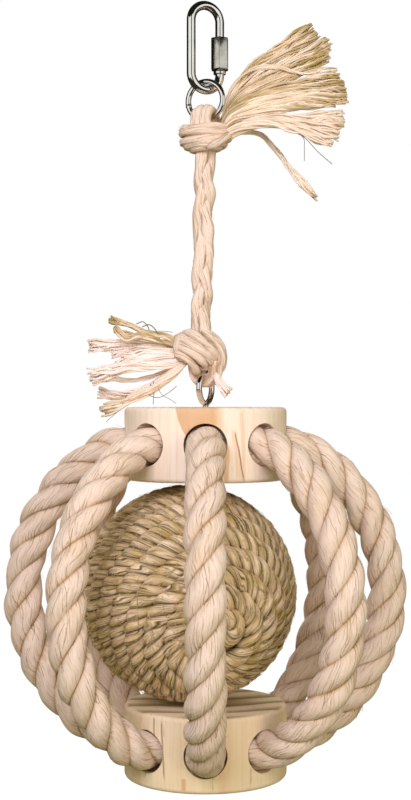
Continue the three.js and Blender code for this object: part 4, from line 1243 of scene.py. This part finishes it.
def makeTail(node, locks, origin, body, seed):
    rng = np.random.default_rng(seed)
    t = np.linspace(0, 1, yarn["steps"])
    loose = t * (yarn["slack"] + (1 - yarn["slack"]) * t)
    cutEnd = 1 - yarn["tipShade"] * np.clip(t * 7 - 6, 0, 1)
    skein = newSkein()
    cells = iter(gridCells(sum(round(lock[3] * yarn["share"]) for lock in locks)))
    for corners, root, tip, yarns, tone in locks:
        yarns = round(yarns * yarn["share"])
        centre = smoothRoute(placed(corners, origin), yarn["steps"])
        side, across = sidesOf(centre)
        along = lengthsAlong(centre)
        half = (root + (tip - root) * t + yarn["flare"] * tip * np.clip(t * 4 - 3, 0, 1)) / 2000
        plies = 4 if yarns > 15 else 2
        first = rng.uniform(0, fullTurn)
        plyTone = rng.permutation(np.linspace(-yarn["plyTone"], yarn["plyTone"], plies))
        for j in range(yarns):
            ply, out = j % plies, math.sqrt((j // plies + 0.5) * plies / yarns)
            wind = first + ply * fullTurn / plies + yarn["plyTurn"] * along * (1 - yarn["unwind"] * t)
            turn = j * yarn["goldenAngle"] + rng.normal(0, yarn["turnTip"]) * t
            turn = turn + rng.normal(0, yarn["turnVary"])
            reach = yarn["spread"] * half * out * (1 + rng.normal(0, yarn["reachVary"]) * t)
            length = rng.uniform(*yarn["waveLength"])
            a = (yarn["plyOut"] * half * np.cos(wind) + reach * np.cos(turn)
                 + yarn["wave"] * slowNoise(along, length, rng, 2) * loose)
            b = (yarn["plyDeep"] * half * np.sin(wind) + yarn["flatten"] * reach * np.sin(turn)
                 + yarn["wave"] * slowNoise(along, length, rng, 2) * loose)
            points = centre + side * a[:, None] + across * b[:, None]
            far = lengthsAlong(points)
            ends = far * (1 - abs(rng.normal(0, yarn["shorten"])))
            points = np.stack([np.interp(ends, far, points[:, k]) for k in range(3)], axis=1)
            shade = np.clip(tone + plyTone[ply] + rng.normal(0, yarn["toneVary"]), 0, 1) * cutEnd
            width = yarn["width"] * rng.uniform(0.7, 1.25)
            addYarn(skein, points, width, yarn["sides"], shade, next(cells))
    piece = knit(node + "_yarns", skein, yarn["finish"].get(node, shadedYarnFinish))
    bend = None
    if node in yarn["lift"]:
        start, end = placed(yarn["lift"][node], origin)
        bend = "cage", tuple(start), tuple(end)
    takePart(piece, body, [node], bend)


for seed, (node, tail) in enumerate(topTails.items()):
    makeTail(node, tail, topKnot["origin"], "hanger", 100 + seed)
for seed, (node, tail) in enumerate(lowerTails.items()):
    makeTail(node, tail, lowerKnot["origin"], "lower_hanger", 120 + seed)
print("tassels combed out")

# single hairs that stand away from the tassels, in millimetres from the knot's origin: route, width
hairPoints, hairSides = 24, 6
topHairs = [([(46, -12, -6), (50.5, -13, -9), (51, -13, -15), (51, -13, -21)], 0.35),
            ([(47, -11, -5), (51, -12, -8.5), (58, -12, -16), (65.5, -12, -22.5)], 0.40),
            ([(38, -11, 0.5), (44, -13, -4), (47.5, -13.5, -6.5), (51, -13, -8)], 0.45)]
lowerHairs = [([(-36, -4, 7), (-32.6, -5, 8), (-30, -5, 5.3), (-29, -4, 1)], 0.55),
              ([(-33, -5, 5.4), (-29.3, -6, 6.4), (-25.9, -6, 3.6), (-24, -4, -0.6)], 0.60),
              ([(-24.6, -5, 3.2), (-21, -5, 3.0), (-17, -4, 2.6)], 0.28),
              ([(-28.4, -6, -24), (-29.3, -7, -30), (-25.2, -8, -31.6), (-19.2, -8, -29),
                (-15, -7, -25.6)], 0.38),
              ([(-27.2, -6, -23), (-26.9, -7, -28.7), (-27.2, -7, -35)], 0.36),
              ([(-25.6, -6, -24), (-22.4, -8, -30.2), (-18.5, -8, -32.4), (-15.2, -8, -34.6)], 0.32),
              ([(-41, -8, -30), (-44, -8, -36.6), (-51.4, -8, -44)], 0.30)]


def makeHairs(name, hairs, origin, body, seed, bend=None):
    rng = np.random.default_rng(seed)
    skein = newSkein()
    for cell, (corners, width) in zip(gridCells(len(hairs)), hairs):
        points = smoothRoute(placed(corners, origin), hairPoints)
        addYarn(skein, points, width / 1000, hairSides, rng.uniform(0.2, 0.8), cell)
    takePart(knit(name, skein, hairFinish), body, [], bend)


makeHairs("top_tassel_hairs", topHairs, topKnot["origin"], "hanger", 140)
makeHairs("lower_tassel_hairs", lowerHairs, lowerKnot["origin"], "lower_hanger", 141,
          ("cage", (0, 0, lowerKnot["origin"][2] - 0.016), (0, 0, lowerKnot["origin"][2] - 0.023)))


# steel: quick link with its sleeve, ring, screw eye and brads

steel = steelFinish(
    "bright zinc steel", {"bright": (240, 238, 234), "dull": (218, 215, 206)},
    {"cloud": 90.0, "lineScale": (500, 500, 30), "smoothest": 0.03, "roughest": 0.06})
sleeveSteel = steelFinish(
    "satin sleeve steel", {"bright": (204, 202, 192), "dull": (168, 164, 148)},
    {"cloud": 120.0, "lineScale": (900, 900, 60), "smoothest": 0.12, "roughest": 0.20})
dullSteel = steelFinish(
    "dull brad steel", {"bright": (120, 114, 102), "dull": (92, 86, 74)},
    {"cloud": 200.0, "lineScale": (900, 900, 60), "smoothest": 0.45, "roughest": 0.60})


sameLevel = 1e-5            # ends of an edge that are no further apart in height lie level


def activate(piece):
    clearSelection()
    piece.select_set(True)
    bpy.context.view_layer.objects.active = piece


def addCylinder(sides, radius, height, location, rotation=(0, 0, 0)):
    clearSelection()
    bpy.ops.mesh.primitive_cylinder_add(vertices=sides, radius=radius, depth=height, location=location,
                                        rotation=rotation)
    return bpy.context.object


def settle(piece, name):
    # names a new piece and settles its place into the mesh
    piece.name = piece.data.name = name
    bpy.ops.object.transform_apply(location=True, rotation=True)
    return piece


def drawWire(name, wireWidth, start, moves):
    # a round wire drawn from a disc at its start, by straight runs along Z and bends in the XZ plane
    clearSelection()
    bpy.ops.mesh.primitive_circle_add(vertices=28, radius=wireWidth / 2, fill_type="NGON", location=start)
    piece = settle(bpy.context.object, name)
    bpy.ops.object.mode_set(mode="EDIT")
    bpy.ops.mesh.select_all(action="SELECT")
    for move in moves:
        if len(move) == 1:
            bpy.ops.mesh.extrude_region_move(TRANSFORM_OT_translate={"value": (0, 0, move[0])})
        else:
            centre, angle, steps = move
            bpy.ops.mesh.spin(steps=steps, angle=angle, center=centre, axis=(0, -1, 0))
    bpy.ops.mesh.select_all(action="SELECT")
    bpy.ops.mesh.remove_doubles(threshold=1e-6)
    bpy.ops.mesh.normals_make_consistent(inside=False)
    bpy.ops.object.mode_set(mode="OBJECT")
    return piece


def pickEdges(piece, wanted):
    # selects edges by the places of their two ends, and opens edit mode
    activate(piece)
    bpy.ops.object.mode_set(mode="EDIT")
    bpy.ops.mesh.select_mode(type="EDGE")
    bpy.ops.mesh.select_all(action="DESELECT")
    bpy.ops.object.mode_set(mode="OBJECT")
    for edge in piece.data.edges:
        edge.select = wanted(*(piece.data.vertices[i].co for i in edge.vertices))
    bpy.ops.object.mode_set(mode="EDIT")


def roundEdges(piece, wanted, size, steps):
    pickEdges(piece, wanted)
    bpy.ops.mesh.bevel(offset=size, segments=steps)
    bpy.ops.object.mode_set(mode="OBJECT")


def isLevel(a, b):
    return abs(a.z - b.z) < sameLevel


def shapeWith(piece, tool, operation):
    # cuts or joins a piece with another, which is used up
    activate(piece)
    change = piece.modifiers.new("shape", "BOOLEAN")
    change.operation, change.object, change.solver = operation, tool, "EXACT"
    bpy.ops.object.modifier_apply(modifier=change.name)
    bpy.data.objects.remove(tool)


def finishSolid(piece, turn, material, smooth=35):
    # turns a piece about Z, settles its place into the mesh, smooths it and gives its finish
    activate(piece)
    piece.rotation_euler = (0, 0, math.radians(turn))
    bpy.ops.object.transform_apply(location=True, rotation=True, scale=True)
    bpy.ops.object.shade_smooth_by_angle(angle=math.radians(smooth))
    piece.data.materials.clear()
    piece.data.materials.append(material)


quickLink = {"wire": 0.0047, "radius": 0.0084, "legTop": -0.00605, "legBottom": -0.03355,
             "openingTop": -0.02275, "openingBottom": -0.02775, "turn": 27.0, "bendSteps": 36, "sides": 40,
             "collar": 0.0066, "collarTop": -0.03125, "collarLength": 0.0020, "collarRound": 0.0005,
             "across": 0.0088, "sleeveTop": -0.01395, "sleeveBottom": -0.03095, "bore": 0.0053,
             "cornerRound": 0.0003, "endRound": 0.0006}


def makeQuickLink(link):
    reach = link["radius"]
    body = drawWire("link_wire", link["wire"], (reach, 0, link["openingBottom"]), [
        (link["legBottom"] - link["openingBottom"],),
        ((0, 0, link["legBottom"]), math.pi, link["bendSteps"]),
        (link["legTop"] - link["legBottom"],),
        ((0, 0, link["legTop"]), math.pi, link["bendSteps"]),
        (link["openingTop"] - link["legTop"],)])
    collar = addCylinder(link["sides"], link["collar"] / 2, link["collarLength"],
                         (reach, 0, link["collarTop"] - link["collarLength"] / 2))
    roundEdges(settle(collar, "link_collar"), isLevel, link["collarRound"], 3)
    shapeWith(body, collar, "UNION")
    finishSolid(body, link["turn"], steel)
    takePart(body, "link", ["quick_link_body"])

    length = link["sleeveTop"] - link["sleeveBottom"]
    middle = (reach, 0, (link["sleeveTop"] + link["sleeveBottom"]) / 2)
    sleeve = addCylinder(6, link["across"] / 2 / math.cos(math.pi / 6), length, middle, (0, 0, math.pi / 6))
    settle(sleeve, "sleeve_nut")

    def isEndEdge(a, b):
        return isLevel(a, b) and abs(abs(a.z - middle[2]) - length / 2) < sameLevel
    roundEdges(sleeve, lambda a, b: not isLevel(a, b), link["cornerRound"], 2)
    roundEdges(sleeve, isEndEdge, link["endRound"], 3)
    shapeWith(sleeve, addCylinder(link["sides"], link["bore"] / 2, length * 1.2, middle), "DIFFERENCE")
    finishSolid(sleeve, link["turn"], sleeveSteel)
    takePart(sleeve, "sleeve", ["quick_link_sleeve"])


hangRing = {"centre": -0.04755, "radius": 0.0099, "wire": 0.003, "turn": -24.0, "steps": 112, "sides": 24,
            "weldAt": 3.4, "weldHalf": 0.05, "weldSwell": 1.09}


def makeRing(ring):
    clearSelection()
    bpy.ops.mesh.primitive_torus_add(major_segments=ring["steps"], minor_segments=ring["sides"],
                                     major_radius=ring["radius"], minor_radius=ring["wire"] / 2)
    piece = bpy.context.object
    piece.name = piece.data.name = "ring_wire"

    def atWeld(point):
        return abs(math.atan2(point.y, point.x) % fullTurn - ring["weldAt"]) < ring["weldHalf"]
    # the butt weld is a slight swelling
    pickEdges(piece, lambda a, b: atWeld(a) and atWeld(b))
    weld = Vector((math.cos(ring["weldAt"]), math.sin(ring["weldAt"]), 0)) * ring["radius"]
    bpy.ops.transform.resize(value=(ring["weldSwell"],) * 3, center_override=weld)
    bpy.ops.object.mode_set(mode="OBJECT")
    piece.rotation_euler = (math.pi / 2, 0, 0)
    piece.location = (0, 0, ring["centre"])
    activate(piece)
    bpy.ops.object.transform_apply(location=True, rotation=True)
    finishSolid(piece, ring["turn"], steel)
    takePart(piece, "ring", ["hanging_ring"])


screwEye = {"wire": 0.003, "shankBottom": -0.23345, "fillet": 0.0025, "filletLevel": -0.20886,
            "centre": -0.19815, "joinAngle": 76.86, "joinSteps": 10, "sweep": 322.56, "sweepSteps": 72,
            "turn": 67.0}


def makeScrewEye(eye):
    piece = drawWire("eye_wire", eye["wire"], (0, 0, eye["shankBottom"]), [
        (eye["filletLevel"] - eye["shankBottom"],),
        ((eye["fillet"], 0, eye["filletLevel"]), math.radians(eye["joinAngle"]), eye["joinSteps"]),
        ((0, 0, eye["centre"]), -math.radians(eye["sweep"]), eye["sweepSteps"])])
    finishSolid(piece, eye["turn"], steel)
    takePart(piece, "cage", ["screw_eye"])


makeQuickLink(quickLink)
makeRing(hangRing)
makeScrewEye(screwEye)
print("steel bent")


# discs: turned pine with a ring of rope holes in the rim, and a brad through each rope end

pineGrain = {"cloud": 26.0, "bend": 14.0, "fibres": (900, 900, 28), "flecks": (420, 420, 60),
             "front": (-0.018, -0.024), "patchDrift": 0.006, "markDrift": 0.004}
# a mark is where it starts, where it ends, half width, strength and colour
pineTop = pineFinish(
    "top disc pine",
    {"pale": (252, 233, 222), "cream": (248, 226, 212), "warm": (217, 168, 128), "late": (226, 190, 156),
     "lateFace": (206, 166, 122), "fibre": (220, 184, 150), "fleck": (196, 150, 110)},
    {**pineGrain, "pith": (0.012, -0.085, 0.0), "waver": 0.006, "ringWidth": 0.0046, "warmth": 0.95,
     "lateRim": 0.16, "lateFace": 0.6, "fleck": 0.3,
     "patch": {"top": -0.20845, "bow": 25.0, "left": -0.0152, "leftEdge": 0.0006, "right": 0.0105,
               "rightEdge": 0.007},
     "marks": [((0.0142, -0.2205), (0.0194, -0.2468), 0.00022, 0.8, (104, 68, 40)),
               ((0.0102, -0.2270), (0.0108, -0.2466), 0.0007, 0.6, (226, 164, 116)),
               ((0.0136, -0.2190), (0.0172, -0.2462), 0.0008, 0.35, (222, 162, 120)),
               ((0.0178, -0.2090), (0.0190, -0.2464), 0.0006, 0.35, (224, 176, 134))]})
pineBottom = pineFinish(
    "bottom disc pine",
    {"pale": (244, 221, 196), "cream": (238, 215, 180), "warm": (228, 184, 146), "late": (214, 180, 140),
     "lateFace": (134, 108, 56), "fibre": (208, 174, 134), "fleck": (150, 108, 68)},
    {**pineGrain, "pith": (-0.030, 0.200, 0.0), "waver": 0.022, "ringWidth": 0.0150, "warmth": 0.5,
     "lateRim": 0.22, "lateFace": 0.75, "fleck": 0.5,
     "patch": {"top": -0.3632, "bow": 0.0, "left": 0.0040, "leftEdge": 0.003, "right": 0.0150,
               "rightEdge": 0.005},
     "marks": [((-0.0215, -0.3650), (-0.0205, -0.3960), 0.00025, 0.6, (124, 92, 58)),
               ((-0.0255, -0.3640), (-0.0250, -0.3780), 0.00025, 0.6, (120, 90, 58)),
               ((-0.0365, -0.3880), (-0.0360, -0.3930), 0.0008, 0.6, (206, 140, 104)),
               ((-0.0112, -0.3930), (-0.0108, -0.3998), 0.0006, 0.6, (206, 140, 104))]})

disc = {"radius": 0.0425, "height": 0.038, "round": 0.0025, "roundSteps": 5, "sides": 160,
        "holes": 8, "holeRadius": 0.01097, "holeBottom": 0.02987, "holeTool": 0.030, "holeSides": 72,
        "bradReach": 0.033, "bradHole": 0.0033, "bradDepth": 0.0012, "bradSides": 24,
        "pilot": 0.0036, "pilotDepth": 0.0253, "pilotSides": 32}
brad = {"length": 0.03397, "shank": 0.0018, "tip": 0.2, "pointLength": 1.4, "sides": 18,
        "head": 0.0032, "headHeight": 0.0008, "sunk": 0.0003, "round": 0.00025}


def onRing(reach, i, level):
    # the place of the i-th hole, rope or brad at a reach from the middle
    angle = ringAngle(i, disc["holes"])
    return (reach * math.cos(angle), reach * math.sin(angle), level)


def makeDisc(name, node, up, finish):
    # up is 1 where the brads enter from above, and -1 from below
    middle = middleOf(node)
    piece = settle(addCylinder(disc["sides"], disc["radius"], disc["height"], (0, 0, middle)), name)
    roundEdges(piece, isLevel, disc["round"], disc["roundSteps"])
    tools = []
    face = middle + up * disc["height"] / 2
    for i in range(disc["holes"]):
        tools.append(addCylinder(disc["holeSides"], disc["holeRadius"], disc["holeTool"],
                                 onRing(disc["holeBottom"] + disc["holeTool"] / 2, i, middle),
                                 (0, math.pi / 2, ringAngle(i, disc["holes"]))))
        tools.append(addCylinder(disc["bradSides"], disc["bradHole"] / 2, disc["bradDepth"] * 2,
                                 onRing(disc["bradReach"], i, face)))
    if up == 1:
        # the screw eye's pilot hole
        tools.append(addCylinder(disc["pilotSides"], disc["pilot"] / 2, disc["pilotDepth"] * 2, (0, 0, face)))
    activate(tools[0])
    for tool in tools:
        tool.select_set(True)
    bpy.ops.object.join()
    bpy.ops.object.transform_apply(location=True, rotation=True)
    shapeWith(piece, tools[0], "DIFFERENCE")
    finishSolid(piece, 0, finish)
    takePart(piece, "cage", [node])


def makeBrads(values):
    # one brad is drawn up from its tip, with its top at zero, and copied to each rope end
    clearSelection()
    bpy.ops.mesh.primitive_circle_add(vertices=values["sides"], radius=values["shank"] / 2 * values["tip"],
                                      fill_type="NGON", location=(0, 0, -values["length"]))
    first = settle(bpy.context.object, "brad")
    bpy.ops.object.mode_set(mode="EDIT")
    bpy.ops.mesh.select_all(action="SELECT")
    point = values["shank"] * values["pointLength"]
    neck = values["length"] - values["headHeight"]
    for rise, grow in ((point, 1 / values["tip"]), (neck - point, 1.0),
                       (0.0, values["head"] / values["shank"]), (values["headHeight"], 1.0)):
        bpy.ops.mesh.extrude_region_move(TRANSFORM_OT_translate={"value": (0, 0, rise)})
        bpy.ops.transform.resize(value=(grow, grow, 1))
    bpy.ops.mesh.select_all(action="SELECT")
    bpy.ops.mesh.normals_make_consistent(inside=False)
    bpy.ops.object.mode_set(mode="OBJECT")
    roundEdges(first, lambda a, b: max(abs(a.z), abs(b.z)) < 1e-6, values["round"], 2)
    finishSolid(first, 0, dullSteel)
    for node, up in (("top", 1), ("bottom", -1)):
        face = middleOf(node + "_disc") + up * (disc["height"] / 2 - values["sunk"])
        flip = Matrix.Rotation(0 if up == 1 else math.pi, 4, "X")
        for i in range(disc["holes"]):
            place = Vector(onRing(disc["bradReach"], i, face))
            piece = bpy.data.objects.new(f"{node}_nail_{i + 1}", first.data.copy())
            piece.data.transform(Matrix.Translation(place) @ flip)
            bpy.context.scene.collection.objects.link(piece)
            takePart(piece, "cage", [f"{node}_brad_{i + 1}"])
    bpy.data.objects.remove(first)


makeDisc("top_disc_pine", "top_disc", 1, pineTop)
makeDisc("bottom_disc_pine", "bottom_disc", -1, pineBottom)
makeBrads(brad)
print("discs turned, drilled and nailed")
